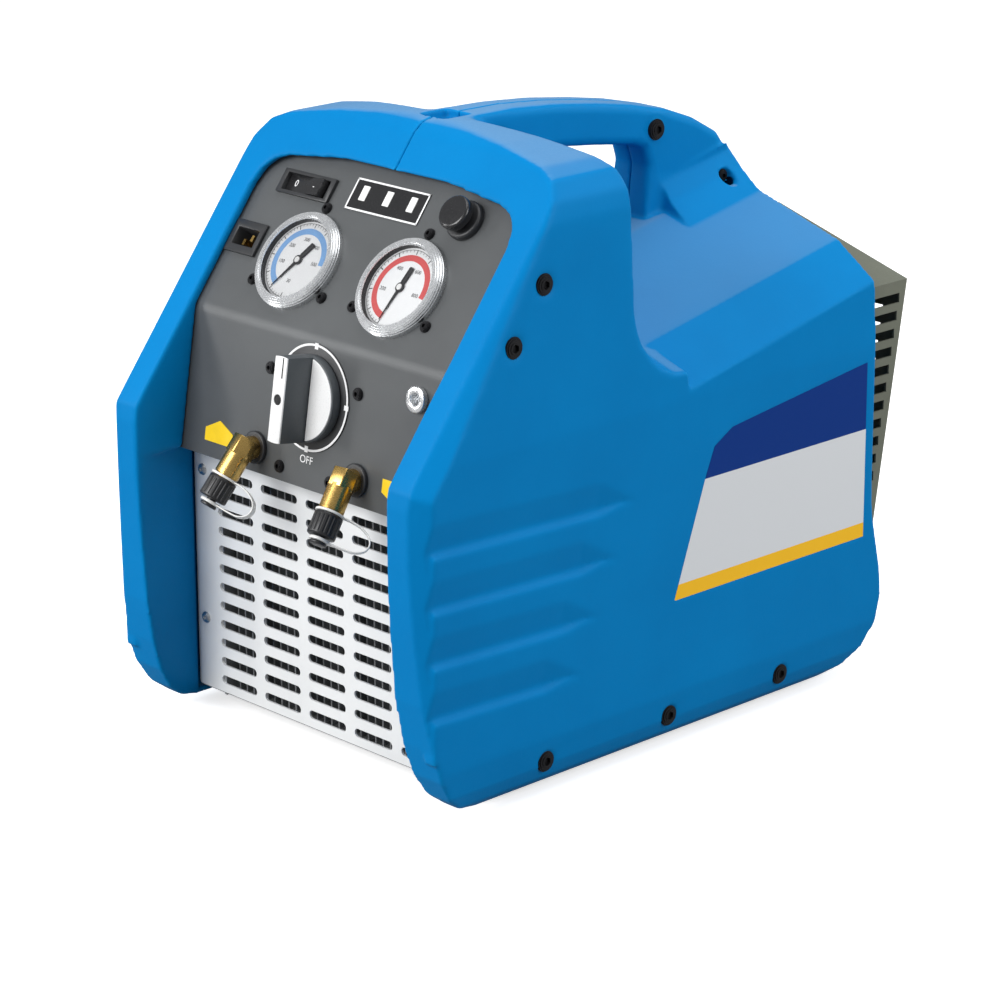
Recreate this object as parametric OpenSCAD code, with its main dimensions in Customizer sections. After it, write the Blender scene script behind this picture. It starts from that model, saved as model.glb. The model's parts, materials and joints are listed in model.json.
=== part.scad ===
// Portable refrigerant recovery machine, built as separate pieces.
// Millimetres, +Z up, the control panel faces -Y, the piece stands on its feet at Z = 0.
// Inside the modules Y counts backwards from the front rim and Z upwards from the shell bottom.

/* [Body] */
// overall width over both half shells
body_w = 250; // [225:1:290]
// overall length from the front rim to the back of the cowl
body_l = 400; // [380:1:440]
// height of the hood above the shell bottom
hood_h = 333; // [315:1:350]
// rear edge of the shells behind the front rim
shell_l = 343; // [330:1:350]
// wall of the moulded shells
wall = 3.5; // [2.5:0.1:4.5]
// gap left between the two halves at the middle seam
seam = 0.3; // [0.1:0.05:0.8]
// height of the rubber feet under the shells
foot_h = 5; // [3:0.5:12]
// drop from the hood to the lower crease of the rear shoulder at the rear edge
roof_drop = 108; // [100:1:120]
// rise of the rear shoulder towards the back, degrees
roof_tilt = 11.5; // [6:0.5:14]
// depth of the four side steps
rib_depth = 3.2; // [1:0.1:5]

/* [Front] */
// height of the hood above the top edge of the opening
top_rim = 25; // [22:0.5:30]
// drop from the bend in the panel to where the front rim starts to lean back
rim_drop = 49; // [46:0.5:54]
// lean of the rim and of the upper panel, degrees from upright
lean = 37; // [34:0.5:39]
// lean of the lower panel, degrees from upright
low_lean = 9; // [6:0.5:12]
// how far the grille stands behind the front rim
grille_y = 46; // [40:0.5:52]
// widening of the opening from the rim to the grille, each side
flare = 9; // [5:0.5:9.5]
// thickness of the panel sheet
panel_t = 1.6; // [1:0.1:2.5]
// panel left below the port axis
panel_foot = 13.2; // [12:0.1:16]
// thickness of the grille sheet
grille_t = 1.2; // [0.8:0.1:2]
// slot length in the grille
slot_l = 29.7; // [20:0.1:32]
// slot width in the grille
slot_h = 4.8; // [3:0.1:7]
// spacing of the slot columns
slot_dx = 36.7; // [34:0.1:42]
// spacing of the slot rows
slot_dz = 10.8; // [9:0.1:14]
// height of the lowest row of slots
slot_z = 14.4; // [12:0.1:20]

/* [Handle] */
// width of the carrying handle
grip_w = 30; // [24:1:40]
// depth of the grip bar at its middle
grip_t = 25; // [20:1:30]

/* [Gauges] */
// outer diameter of the bezel ring
bezel_d = 56; // [50:0.5:64]
// gap between the flanges of the two gauges
mid_gap = 11; // [8:0.5:20]
// flange of the gauge case round the bezel
flange_w = 6.5; // [6.2:0.1:8]
// gap between the bend in the panel and the bezels
gauge_rise = 10; // [8:0.5:14]
// how far the bezel stands in front of the panel
bezel_h = 6; // [5:0.5:9]
// width of the bezel ring round the can
ring_w = 3; // [2.5:0.1:4]

/* [Controls] */
// gap between the bezels and the lamp window
row_gap = 6.7; // [6:0.1:10]
// height of the lamp window
row_h = 18.3; // [16:0.1:22]
// gap between the lamp window and the top of the panel
row_top = 11.675; // [11:0.1:16]
// gap between a gauge flange and the mains inlet
inlet_gap = 2; // [1:0.1:6]
// diameter of the fixed selector plate
dial_d = 57; // [53:0.5:62]
// diameter of the selector knob
knob_d = 46; // [40:0.5:49]
// diameter of the selector stem
stem_d = 6.5; // [5.5:0.1:7]
// running gap around the selector stem
stem_gap = 0.05; // [0.02:0.01:0.1]
// travel of the breaker button
press = 3; // [2:0.1:3.5]

/* [Ports] */
// distance of each port from the middle
port_x = 40; // [38:0.5:45]
// drop from the selector axis to the ports
port_fall = 35; // [33:0.5:40]
// drop of the ports below the lower panel's own axis, degrees
port_drop = 61; // [55:1:66]
// outward turn of the ports, degrees
port_turn = 13; // [6:1:18]
// outer diameter of the flare thread
thread_d = 11.1; // [10:0.1:11.5]
// gap between a cap and its thread
cap_gap = 0.3; // [0.2:0.05:0.5]

/* [Drive] */
// diameter of the fan over its blade tips
fan_d = 122; // [105:1:138]
// gap between the fan shroud and the base plate
fan_lift = 2.5; // [1:0.1:6]
// distance of the fan's middle behind the grille
fan_back = 59; // [54:0.5:68]
// diameter of the motor body
motor_d = 104; // [90:1:116]
// length of the motor over its end bells
motor_l = 104; // [92:1:118]
// diameter of the motor shaft
shaft_d = 12; // [10:0.5:14]
// running gap around the motor shaft
shaft_gap = 0.05; // [0.02:0.01:0.1]

/* [Hidden] */
$fn = 48;
hw = body_w / 2;
bez_r = bezel_d / 2;
can_r = bez_r - ring_w;
flange_r = bez_r + flange_w;
gauge_x = mid_gap / 2 + flange_r;
gauge_s = gauge_rise + bez_r;
row_s = gauge_rise + bezel_d + row_gap + row_h / 2;
slope_l = row_s + row_h / 2 + row_top;
inlet_x = gauge_x + flange_r + inlet_gap + 10.5;
inlet_s = gauge_s + 5;
ow = inlet_x + 12.5;
switch_x = ow - 37.5;
switch_s = row_s - 2.35;
breaker_x = ow - 39;
breaker_s = row_s - 0.45;
drain_x = ow - 20;
panel_y = grille_y - panel_t;
panel_w = ow + wall + 1.5;
plate_y = panel_y - 0.8;
knob_y = plate_y - 0.4;
open_top = hood_h - top_rim;
bend_z = open_top - slope_l * cos(lean);
kink_z = bend_z - rim_drop;
dial_z = bend_z - dial_d / 2 - 2;
port_z = dial_z - port_fall;
low_l = bend_z - port_z + panel_foot;
foot_y = panel_y - low_l * sin(low_lean);
panel_z = bend_z - low_l * cos(low_lean);
roof_z = hood_h - roof_drop;
hood_r = (hood_h - 7 - kink_z) * tan(lean) + 43;
base_x = hw - 13.5;
base_t = 1.5;
bend_r = 14;
bend_c = [panel_y, bend_z] + bend_r * [cos(low_lean), -sin(low_lean)]
  - bend_r * tan((lean - low_lean) / 2) * [sin(low_lean), cos(low_lean)];
port_n = 9.5;
roll_r = 8;
base_z = wall;
floor_z = base_z + base_t;
cowl_w = hw - 23;
cowl_t = 1.2;
screw_d = 4;
back_y = grille_y + grille_t;
valve_y = grille_y + 34;
axis_z = floor_z + fan_lift + fan_d / 2 + 5.5;
fan_y = grille_y + fan_back;
motor_y = fan_y + 13;
comp_y = motor_y + motor_l + 41;
cap_x = motor_d / 2 + 25;
board_x = base_x - 17.5;
grille_w = ow + flare + wall + 1;
grille_screw_x = grille_w - 12.5;
grille_screw_z = [47.3, panel_z - 15.4];
cowl_screw_z = [roof_z - 95, roof_z - 35];
side_screws = [for (h = [43.4, 15.2]) [panel_at(bend_z + h) + 11 + 0.06 * h, bend_z + h]];
low_screws = [for (y = [grille_y + 42.6, (grille_y + shell_l) / 2 - 13.5, shell_l - 73]) [y, 15.4]];
handle_screws = [[hood_r + 5, hood_h - 15.5, grip_w / 2 - 3], [shell_l - 63.5, hood_h - 28.5, grip_w / 2 - 3],
  [shell_l - 13, hood_h - 62, 18]];

// Helpers

function unit2(v) = v / norm(v);
function side(u) = [-u[1], u[0]];

// moves every edge of an anticlockwise outline inwards by d
function inset(p, d) = [for (i = [0:len(p) - 1])
  let (a = p[(i + len(p) - 1) % len(p)], b = p[i], c = p[(i + 1) % len(p)])
  let (n1 = side(unit2(b - a)), n2 = side(unit2(c - b)))
  b + d * (n1 + n2) / (1 + n1 * n2)];

function arc(c, r, a0, a1, n) = [for (i = [0:n])
  let (a = a0 + (a1 - a0) * i / n)
  c + r * [cos(a), sin(a)]];
function flip(p) = [for (i = [len(p) - 1:-1:0]) [-p[i][0], p[i][1]]];
function back_of(p) = [for (i = [len(p) - 1:-1:0]) p[i]];
function lean_y(z) = (z - kink_z) * tan(lean);
function panel_at(z) = panel_y + (z - bend_z) * tan(lean);

module place() {
  translate([0, -body_l / 2, foot_h])
    children();
}

// outline in Y and Z, drawn across X
module across(x0, x1) {
  translate([x0, 0, 0])
    rotate([90, 0, 90])
      linear_extrude(x1 - x0)
        children();
}

// outline in X and Z, drawn along Y
module along(y0, y1) {
  translate([0, y1, 0])
    rotate([90, 0, 0])
      linear_extrude(y1 - y0)
        children();
}

module rod(a, b, r) {
  d = b - a;
  l = norm(d);
  translate(a)
    rotate([0, acos(d[2] / l), atan2(d[1], d[0])])
      cylinder(r = r, h = l);
}

module pipe(p, r) {
  for (i = [0:len(p) - 2])
    rod(p[i], p[i + 1], r);
  for (i = [1:len(p) - 2])
    translate(p[i])
      rotate([37, 21, 13])
        sphere(r = r * 1.4);
}

// cylinder along X from x0 to x1
module bar_x(x0, x1, y, z, r) {
  translate([x0, y, z])
    rotate([0, 90, 0])
      cylinder(r = r, h = x1 - x0);
}

// cylinder along Y from y0 to y1
module bar_y(x, y0, y1, z, r) {
  translate([x, y0, z])
    rotate([-90, 0, 0])
      cylinder(r = r, h = y1 - y0);
}

// box from one corner to the other
module span(a, b) {
  translate(a)
    cube(b - a);
}

// local frame on the leaning part of the panel: X across, Y up the slope, Z out of the panel
module on_panel() {
  translate([0, panel_y, bend_z])
    rotate([90 - lean, 0, 0])
      children();
}

// the lower panel and what it carries, turned about the bend from upright
module on_low() {
  translate([0, panel_y, bend_z])
    rotate([-low_lean, 0, 0])
      translate([0, -panel_y, -bend_z])
        children();
}

function low_at(p) = let (y = p[1] - panel_y, z = p[2] - bend_z)
  [p[0], panel_y + y * cos(low_lean) + z * sin(low_lean), bend_z - y * sin(low_lean) + z * cos(low_lean)];

// domed screw in a frame whose Z points out of the surface
module dome_screw(r, h, shank_r, shank_l) {
  intersection() {
    translate([0, 0, h - (r * r + h * h) / (2 * h)])
      sphere(r = (r * r + h * h) / (2 * h));
    cylinder(r = r + 1, h = h);
  }
  translate([0, 0, -shank_l])
    cylinder(r = shank_r, h = shank_l + h / 2);
}

// Shell outlines

function hood_side() = concat(
  [[grille_y, 0], [hood_r, 0]],
  arc([hood_r - 26, hood_h - 26], 26, 0, 90, 6),
  [[lean_y(hood_h - 6) + 15, hood_h], [lean_y(hood_h - 6) + 6, hood_h - 2],
   [lean_y(hood_h - 7), hood_h - 7], [lean_y(kink_z + 8), kink_z + 8],
   [1.2, kink_z + 1], [0, kink_z - 8], [0, kink_z - 36], [1.6, kink_z - 72], [4.5, 66], [8.5, 42],
   [14, 24], [22, 11], [32, 3.5]]);

function tuck() = [[hw - 11, 0], [hw - 5.5, 5], [hw - 2, 13], [hw, 28]];

function hood_half() = concat(tuck(),
  [[hw, kink_z + 13], [hw - 6.5, hood_h - 34], [hw - 9, hood_h - 24], [hw - 16, hood_h - 15],
   [hw - 28, hood_h - 10], [hw * 0.5, hood_h - 4.2], [hw * 0.16, hood_h - 0.5]]);

function hood_cross() = concat(hood_half(), flip(hood_half()));

function rear_side() = [[120, 0], [shell_l - 31, 0], [shell_l - 17, 4], [shell_l - 4, 13], [shell_l + 6, 26],
  [shell_l + 10, 42], [shell_l + 8.5, 58], [shell_l + 1, 92], [shell_l, 112], [shell_l, hood_h - 3],
  [120, hood_h - 3]];

function rear_half() = concat(tuck(), [[hw, kink_z + 13], [hw - 6.5, hood_h - 34], [hw - 7.5, hood_h]]);
function rear_cross() = concat(rear_half(), flip(rear_half()));

function roof_half() = [[hw + 30, -420], [hw + 30, -20.3], [hw, 0], [hw - 29.5, 20], [hw * 0.384, 34.5],
  [hw * 0.16, 43]];
function roof_cross() = concat(roof_half(), flip(roof_half()));

function grip_side() = [[hood_r - 44, hood_h - 71], [shell_l, hood_h - 93], [shell_l, hood_h - 52],
  [shell_l - 11, hood_h - 37.5], [shell_l - 30, hood_h - 27], [shell_l - 53, hood_h - 18.5],
  [shell_l - 81, hood_h - 12], [shell_l - 108, hood_h - 7.5], [shell_l - 138, hood_h - 3.5],
  [shell_l - 168, hood_h - 1], [hood_r - 44, hood_h - 0.4]];

function grip_gap() = [[hood_r - 12, hood_h - 133], [shell_l - 76, hood_h - 133],
  [shell_l - 70, hood_h - 71], [shell_l - 67.5, hood_h - 49],
  [shell_l - 71, hood_h - 13.5 - grip_t], [shell_l - 79, hood_h - 10.5 - grip_t],
  [shell_l - 108, hood_h - 6.5 - grip_t], [shell_l - 138, hood_h - 3 - grip_t],
  [hood_r + 10, hood_h - 2 - grip_t], [hood_r + 2, hood_h - 6 - grip_t], [hood_r - 3, hood_h - 16 - grip_t],
  [hood_r - 12, hood_h - 40 - grip_t]];

function open_half() = [[ow, open_top - 23], [ow - 2.5, open_top - 14], [ow - 8.5, open_top - 8.5],
  [ow - 17.5, open_top - 5.5], [ow * 0.4, open_top - 1.2]];
function open_cross() = concat([[-ow, -60], [ow, -60]], open_half(), flip(open_half()));

// everything in front of the panel and the grille
function front_side() = [[-40, -80], [grille_y, -80], [grille_y, panel_z], [foot_y, panel_z],
  [panel_y, bend_z], [panel_at(hood_h + 20), hood_h + 20], [-40, hood_h + 20]];

// plan outline that takes the front corners off
function plan_cut(c) = [[-hw + c, 0], [hw - c, 0], [hw, c], [hw, 600], [-hw, 600], [-hw, c]];

// the inner faces of the front legs open out towards the grille
module flare_cut(t) {
  for (s = [0, 1])
    mirror([s, 0, 0])
      translate([0, 0, -80])
        linear_extrude(80 + panel_z + t)
          polygon([[ow - 5, 4 - t], [ow + t, 4 - t], [ow + flare + t, grille_y], [ow + flare + t, grille_y + 5],
            [ow - 5, grille_y + 5]]);
}

module hood(t) {
  intersection() {
    across(-hw - 1, hw + 1)
      polygon(inset(hood_side(), t));
    along(-1, hood_r + 76)
      polygon(inset(hood_cross(), t));
    translate([0, 0, -50])
      linear_extrude(600)
        polygon(inset(plan_cut(9), t));
    translate([0, 0, kink_z])
      rotate([-lean, 0, 0])
        translate([0, 0, -500])
          linear_extrude(1000)
            polygon(inset(plan_cut(9), t));
  }
}

module roof(t) {
  translate([0, shell_l, roof_z])
    rotate([roof_tilt, 0, 0])
      along(-300, 60)
        polygon(inset(roof_cross(), t));
}

// hollow curve between the back of the hood and the shoulder, following the shoulder's fall
function fillet_side() = concat([[-30, -40], [40, -40]],
  back_of(arc([37, 43], 37, 180, 270, 6)), [[-30, 43]]);

module roof_fillet(t) {
  fall = atan(14.5 / (hw - 29.5 - hw * 0.384));
  z0 = roof_z + 34.5 + hw * 0.384 * tan(fall) - (shell_l - hood_r) * tan(roof_tilt);
  for (s = [0, 1])
    mirror([s, 0, 0])
      translate([0, hood_r, z0])
        rotate([0, fall, 0])
          across(-20, hw + 30)
            polygon(inset(fillet_side(), t));
}

module rear(t) {
  intersection() {
    across(-hw - 1, hw + 1)
      polygon(inset(rear_side(), t));
    along(100, 420)
      polygon(inset(rear_cross(), t));
    union() {
      roof(t);
      roof_fillet(t);
    }
  }
}

function flare_half() = [[50, -40], [50, 31], [34, 39.5], [22, 49], [grip_w / 2, 60]];

module grip(t) {
  difference() {
    across(-grip_w / 2 + t, grip_w / 2 - t)
      polygon(inset(grip_side(), t));
    across(-grip_w, grip_w)
      polygon(inset(grip_gap(), -t));
  }
  intersection() {
    translate([0, shell_l, roof_z])
      rotate([roof_tilt, 0, 0])
        along(-70, 30)
          polygon(inset(concat(flare_half(), flip(flare_half())), t));
    span([-60, shell_l - 58 + t, hood_h - 133], [60, shell_l - t, hood_h]);
  }
}

module rib(i, g) {
  z = kink_z - 29 - 29.2 * i;
  y1 = 152 - 13 * i;
  translate([0, 0, z])
    rotate([-2, 0, 0])
      for (s = [0, 1])
        mirror([s, 0, 0])
          along(-20, y1 + g)
            polygon(inset([[hw - rib_depth, -0.01], [hw + 3, -24 - 3 * 24 / rib_depth],
              [hw + 3, 2 + 3 / rib_depth]], -g));
}

module ribs(g) {
  for (i = [0:3])
    rib(i, g);
}

module half(s) {
  mirror([s < 0 ? 1 : 0, 0, 0])
    span([seam / 2, -20, -20], [hw + 20, body_l + 20, hood_h + 40]);
}

module shell_body() {
  difference() {
    union() {
      hood(0);
      rear(0);
      grip(0);
    }
    ribs(0);
    intersection() {
      union() {
        along(-30, 150)
          polygon(open_cross());
        flare_cut(0);
      }
      translate([0, 2, 0])
        across(-hw, hw)
          polygon(front_side());
    }
    difference() {
      union() {
        hood(wall);
        rear(wall);
        grip(wall);
        span([-hw + 16, grille_y - 5, -5], [hw - 16, shell_l - 34, wall + 5]);
        along(shell_l - 20, shell_l + 40)
          polygon(inset(cowl_cross(0), -0.4));
      }
      ribs(wall);
      intersection() {
        union() {
          along(-30, 150)
            polygon(inset(open_cross(), -wall));
          flare_cut(wall);
        }
        across(-hw, hw)
          polygon(front_side());
      }
    }
    top_mark();
  }
}

// lens shaped hollow on the seam in front of the handle
module top_mark() {
  intersection() {
    translate([16, hood_r - 22, hood_h - 2.2])
      cylinder(r = 24, h = 10);
    translate([-16, hood_r - 22, hood_h - 2.2])
      cylinder(r = 24, h = 10);
  }
}

function side_face(z) = hw - 6.5 * max(0, z - kink_z - 13) / (hood_h - 47 - kink_z);

module shell_bosses() {
  for (p = side_screws)
    bar_x(panel_w, side_face(p[1]) - 1, p[0], p[1], 6);
  for (p = low_screws)
    bar_x(base_x, hw - 5, p[0], p[1], 6);
}

module shell_holes() {
  for (p = side_screws) {
    bar_x(panel_w - 1, hw + 5, p[0], p[1], 2.2);
    bar_x(side_face(p[1]) - 3, hw + 5, p[0], p[1], 5);
  }
  for (z = cowl_screw_z)
    bar_y(cowl_w + 6, shell_l - 12, shell_l + 10, z, 1.7);
  for (p = low_screws) {
    bar_x(base_x - 1, hw + 5, p[0], p[1], 2.2);
    bar_x(hw - 4.5, hw + 5, p[0], p[1], 5);
  }
}

// Enclosure

module left_shell() {
  color([0.05, 0.38, 0.72])
    place()
      difference() {
        union() {
          intersection() {
            shell_body();
            half(-1);
          }
          mirror([1, 0, 0])
            shell_bosses();
          for (p = handle_screws)
            bar_x(-p[2] - 2.5, -seam / 2, p[0], p[1], 5);
        }
        mirror([1, 0, 0])
          shell_holes();
        for (p = handle_screws)
          bar_x(-11, 1, p[0], p[1], 1.75);
      }
}

module right_shell() {
  color([0.05, 0.38, 0.72])
    place()
      difference() {
        union() {
          intersection() {
            shell_body();
            half(1);
          }
          shell_bosses();
          for (p = handle_screws)
            bar_x(seam / 2, p[2] + 2.5, p[0], p[1], 5);
        }
        shell_holes();
        for (p = handle_screws) {
          bar_x(-1, grip_w, p[0], p[1], 2.2);
          bar_x(p[2], 60, p[0], p[1], 4.6);
        }
        across(hw - 0.5, hw + 5)
          polygon(decal_outline(0));
      }
}

module side_screw(x, y, z, l) {
  translate([x, y, z])
    rotate([0, 90, 0])
      dome_screw(4.3, 2.6, screw_d / 2, l);
}

module shell_screws() {
  color([0.06, 0.06, 0.07])
    place() {
      for (s = [0, 1])
        mirror([s, 0, 0]) {
          for (p = side_screws)
            side_screw(side_face(p[1]) - 3, p[0], p[1], side_face(p[1]) - panel_w + 3);
          for (p = low_screws)
            side_screw(hw - 4.5, p[0], p[1], 15);
        }
      for (p = handle_screws)
        translate([p[2], p[0], p[1]])
          rotate([0, 90, 0])
            dome_screw(4, 2.4, 1.75, p[2] + 9);
    }
}

function decal_outline(g) = inset([[182, 80], [shell_l - 7, 80], [shell_l - 7, 182],
  [226, 168], [212, 160], [206, 146]], g);

module side_decal() {
  color([0.93, 0.94, 0.95])
    place()
      across(hw - 0.5, hw - 0.1)
        polygon(decal_outline(0.3));
}

// front line of the panel, d behind its face, rolled to bend_r at the bend
function panel_line(d) = concat([[back_y + 1, panel_z + d],
  [foot_y + d * (tan(low_lean) + 1 / cos(low_lean)), panel_z + d]],
  arc(bend_c, bend_r - d, 180 - low_lean, 180 - lean, 6),
  [[panel_at(open_top + 1) + d / cos(lean), open_top + 1]]);

module control_panel() {
  color([0.3, 0.31, 0.32])
    place()
      difference() {
        union() {
          across(-panel_w, panel_w)
            polygon(concat(panel_line(panel_t), back_of(panel_line(0))));
          for (s = [0, 1])
            mirror([s, 0, 0])
              across(panel_w - 1.5, panel_w)
                polygon(concat([[panel_y + 18, panel_z + 12], [panel_y + 18, bend_z - 12],
                  [panel_at(open_top - 5) + 22, open_top - 5], [panel_at(open_top + 1) + 1, open_top + 1]],
                  back_of(panel_line(0))));
        }
        for (s = [0, 1])
          mirror([s, 0, 0])
            for (p = side_screws)
              bar_x(panel_w - 3, panel_w + 1, p[0], p[1], screw_d / 2 + 0.1);
        on_low() {
          bar_y(0, panel_y - 5, panel_y + 5, dial_z, stem_d / 2 + 2);
          for (s = [-1, 1]) {
            bar_y(s * port_x, panel_y - 5, panel_y + 5, port_z, 6.6);
            bar_y(s * (port_x - 20), panel_y - 5, panel_y + 5, port_z - 5.8, 1.6);
            bar_y(s * (dial_d / 2 + 6), panel_y - 5, panel_y + 5, dial_z + 9, 1.6);
          }
          bar_y(drain_x, panel_y - 5, panel_y + 5, dial_z + 15.5, 4.1);
        }
        on_panel() {
          for (s = [-1, 1])
            translate([s * gauge_x, gauge_s, -5]) {
              cylinder(r = can_r + 0.2, h = 10);
              for (a = [90, 210, 330])
                rotate(a)
                  translate([bez_r + 4, 0, 0])
                    cylinder(r = 1.6, h = 10);
            }
          span([-switch_x - 18.2, switch_s - 6.2, -5], [-switch_x + 18.2, switch_s + 6.2, 5]);
          span([-inlet_x - 10.7, inlet_s - 7.2, -5], [-inlet_x + 10.7, inlet_s + 7.2, 5]);
          translate([breaker_x, breaker_s, -5])
            cylinder(r = 8.2, h = 10);
          span([-24, row_s - 4, -5], [24, row_s + 6.3, 5]);
        }
      }
}

module front_grille() {
  top = panel_z;
  w = grille_w;
  cols = floor((w - roll_r - slot_l / 2) / slot_dx);
  rows = floor((panel_z - 7 - slot_z) / slot_dz);
  color([0.86, 0.87, 0.88])
    place()
      difference() {
        union() {
          span([-w + roll_r, grille_y, 7], [w - roll_r, back_y, top]);
          for (s = [0, 1])
            mirror([s, 0, 0]) {
              span([w - grille_t, grille_y + roll_r, 7], [w, grille_y + 20, top]);
              intersection() {
                translate([w - roll_r, grille_y + roll_r, 7])
                  difference() {
                    cylinder(r = roll_r, h = top - 7);
                    translate([0, 0, -1])
                      cylinder(r = roll_r - grille_t, h = top);
                  }
                span([w - roll_r, grille_y - 1, 0], [w + 1, grille_y + roll_r, top + 1]);
              }
            }
        }
        for (c = [-cols:cols])
          for (r = [0:rows])
            translate([c * slot_dx, 0, slot_z + r * slot_dz]) {
              span([-slot_l / 2 + slot_h / 2, grille_y - 1, -slot_h / 2],
                [slot_l / 2 - slot_h / 2, grille_y + 3, slot_h / 2]);
              for (s = [-1, 1])
                bar_y(s * (slot_l - slot_h) / 2, grille_y - 1, grille_y + 3, 0, slot_h / 2);
            }
        for (s = [-1, 1])
          for (z = grille_screw_z)
            bar_y(s * grille_screw_x, grille_y - 1, grille_y + 3, z, 1.7);
      }
}

module grille_screws() {
  color([0.75, 0.76, 0.78])
    place()
      for (s = [-1, 1])
        for (z = grille_screw_z)
          translate([s * grille_screw_x, grille_y, z])
            rotate([90, 0, 0])
              dome_screw(3.2, 1.8, 1.5, 8);
}

function cowl_side(t) = [[shell_l - 8, 14 + t], [shell_l + 18, 14 + t], [body_l - t, roof_z + 16],
  [body_l - t, roof_z + 60], [shell_l - 8, roof_z + 60]];
function cowl_cross(t) = [[-cowl_w + t, 14 + t], [cowl_w - t, 14 + t], [cowl_w - t, roof_z - 10.5 - t],
  [0, roof_z + 16 - t], [-cowl_w + t, roof_z - 10.5 - t]];

module cowl_solid(t) {
  intersection() {
    across(-cowl_w - 1, cowl_w + 1)
      polygon(cowl_side(t));
    along(shell_l - 20, body_l + 10)
      polygon(cowl_cross(t));
  }
}

module rear_cowl() {
  color([0.35, 0.36, 0.31])
    place()
      difference() {
        union() {
          cowl_solid(0);
          for (s = [0, 1])
            mirror([s, 0, 0])
              span([cowl_w - 1, shell_l - wall - cowl_t, roof_z - 107],
                [cowl_w + 11, shell_l - wall, roof_z - 23]);
        }
        translate([0, -5, 0])
          cowl_solid(cowl_t);
        cowl_solid(cowl_t);
        for (i = [0:11]) {
          z = roof_z - 20.5 - 10.15 * i;
          y1 = body_l - 11 - 1.85 * i;
          span([-cowl_w - 2, shell_l + 9, z - 2.8], [-cowl_w + 2, y1, z + 2.8]);
          span([cowl_w - 2, shell_l + 9, z - 2.8], [cowl_w + 2, y1, z + 2.8]);
          for (c = [-1.5:1.5])
            span([c * 46 - 19, shell_l + 10, z - 2.8], [c * 46 + 19, body_l + 5, z + 2.8]);
        }
        for (s = [-1, 1])
          for (z = cowl_screw_z)
            bar_y(s * (cowl_w + 6), shell_l - 12, shell_l + 1, z, 1.6);
      }
}

module cowl_screws() {
  color([0.7, 0.71, 0.72])
    place()
      for (s = [-1, 1])
        for (z = cowl_screw_z)
          translate([s * (cowl_w + 6), shell_l, z])
            rotate([-90, 0, 0])
              dome_screw(3.6, 2.2, 1.5, 9);
}

module base_plate() {
  color([0.55, 0.56, 0.57])
    place()
      difference() {
        union() {
          span([-base_x, grille_y + 5, base_z], [base_x, shell_l - 36, floor_z]);
          for (s = [0, 1])
            mirror([s, 0, 0])
              span([base_x - base_t, grille_y + 22, base_z], [base_x, shell_l - 40, 26]);
        }
        for (s = [0, 1])
          mirror([s, 0, 0])
            for (p = low_screws)
              bar_x(base_x - 4, base_x + 1, p[0], p[1], screw_d / 2 + 0.1);
        for (x = [-1, 1])
          for (y = [80, shell_l - 60])
            translate([x * (hw - 33), y, -5])
              cylinder(r = 3.1, h = 12);
      }
}

module rubber_feet() {
  color([0.08, 0.08, 0.08])
    place()
      for (x = [-1, 1])
        for (y = [80, shell_l - 60])
          translate([x * (hw - 33), y, 0]) {
            translate([0, 0, -foot_h])
              cylinder(r1 = 9.5, r2 = 11, h = foot_h + base_z);
            cylinder(r = 3, h = floor_z);
            translate([0, 0, floor_z])
              cylinder(r1 = 5, r2 = 3, h = 3);
          }
}

// Gauges, each drawn in the panel frame around its own axis

module at_gauge(s) {
  on_panel()
    translate([s * gauge_x, gauge_s, 0])
      children();
}

module gauge_case(s) {
  color([0.2, 0.2, 0.21])
    place()
      at_gauge(s)
        difference() {
          union() {
            translate([0, 0, -24])
              cylinder(r = can_r, h = 25.2);
            translate([0, 0, -panel_t - 2])
              cylinder(r = flange_r, h = 2);
            translate([0, 0, -34])
              cylinder(r = 5, h = 12);
          }
          difference() {
            translate([0, 0, -22.5])
              cylinder(r = can_r - 1.5, h = 40);
            translate([0, 0, -23])
              cylinder(r = 3, h = 23.6);
          }
          translate([0, 0, -6])
            cylinder(r = 0.95, h = 20);
          for (a = [90, 210, 330])
            rotate(a)
              translate([bez_r + 4, 0, -10])
                cylinder(r = 1.45, h = 12);
        }
}

module gauge_bezel(s) {
  color([0.8, 0.81, 0.82])
    place()
      at_gauge(s)
        difference() {
          union() {
            cylinder(r = bez_r, h = bezel_h - 1.2);
            translate([0, 0, bezel_h - 1.2])
              cylinder(r1 = bez_r, r2 = bez_r - 1.2, h = 1.2);
          }
          translate([0, 0, -1])
            cylinder(r = can_r + 0.3, h = bezel_h + 0.2);
          translate([0, 0, bezel_h - 1.6])
            cylinder(r1 = can_r - 3, r2 = can_r - 1.4, h = 1.7);
        }
}

module gauge_dial(s) {
  color([0.95, 0.95, 0.93])
    place()
      at_gauge(s)
        translate([0, 0, 1.2])
          difference() {
            cylinder(r = can_r - 0.1, h = 0.6);
            translate([0, 0, -1])
              cylinder(r = 1.25, h = 3);
          }
}

module gauge_lens(s) {
  color([0.85, 0.92, 0.95, 0.3])
    place()
      at_gauge(s)
        translate([0, 0, bezel_h - 2])
          cylinder(r = can_r + 0.1, h = 1.2);
}

module gauge_needle(s) {
  color([0.08, 0.08, 0.08])
    place()
      at_gauge(s) {
        translate([0, 0, -5.5])
          cylinder(r = 0.9, h = 8.6);
        translate([0, 0, 2.3])
          cylinder(r = 2.2, h = 0.8);
        rotate(s < 0 ? 150 : 170)
          translate([0, 0, 2.4])
            linear_extrude(0.6)
              polygon([[-0.9, -3], [0.9, -3], [0.25, can_r - 4.5], [-0.25, can_r - 4.5]]);
        rotate(s < 0 ? -30 : -10)
          translate([0, 0, 2.4])
            linear_extrude(0.6)
              polygon([[-0.9, 0], [0.9, 0], [2, 8], [1.4, 11.5], [-1.4, 11.5], [-2, 8]]);
      }
}

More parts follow.
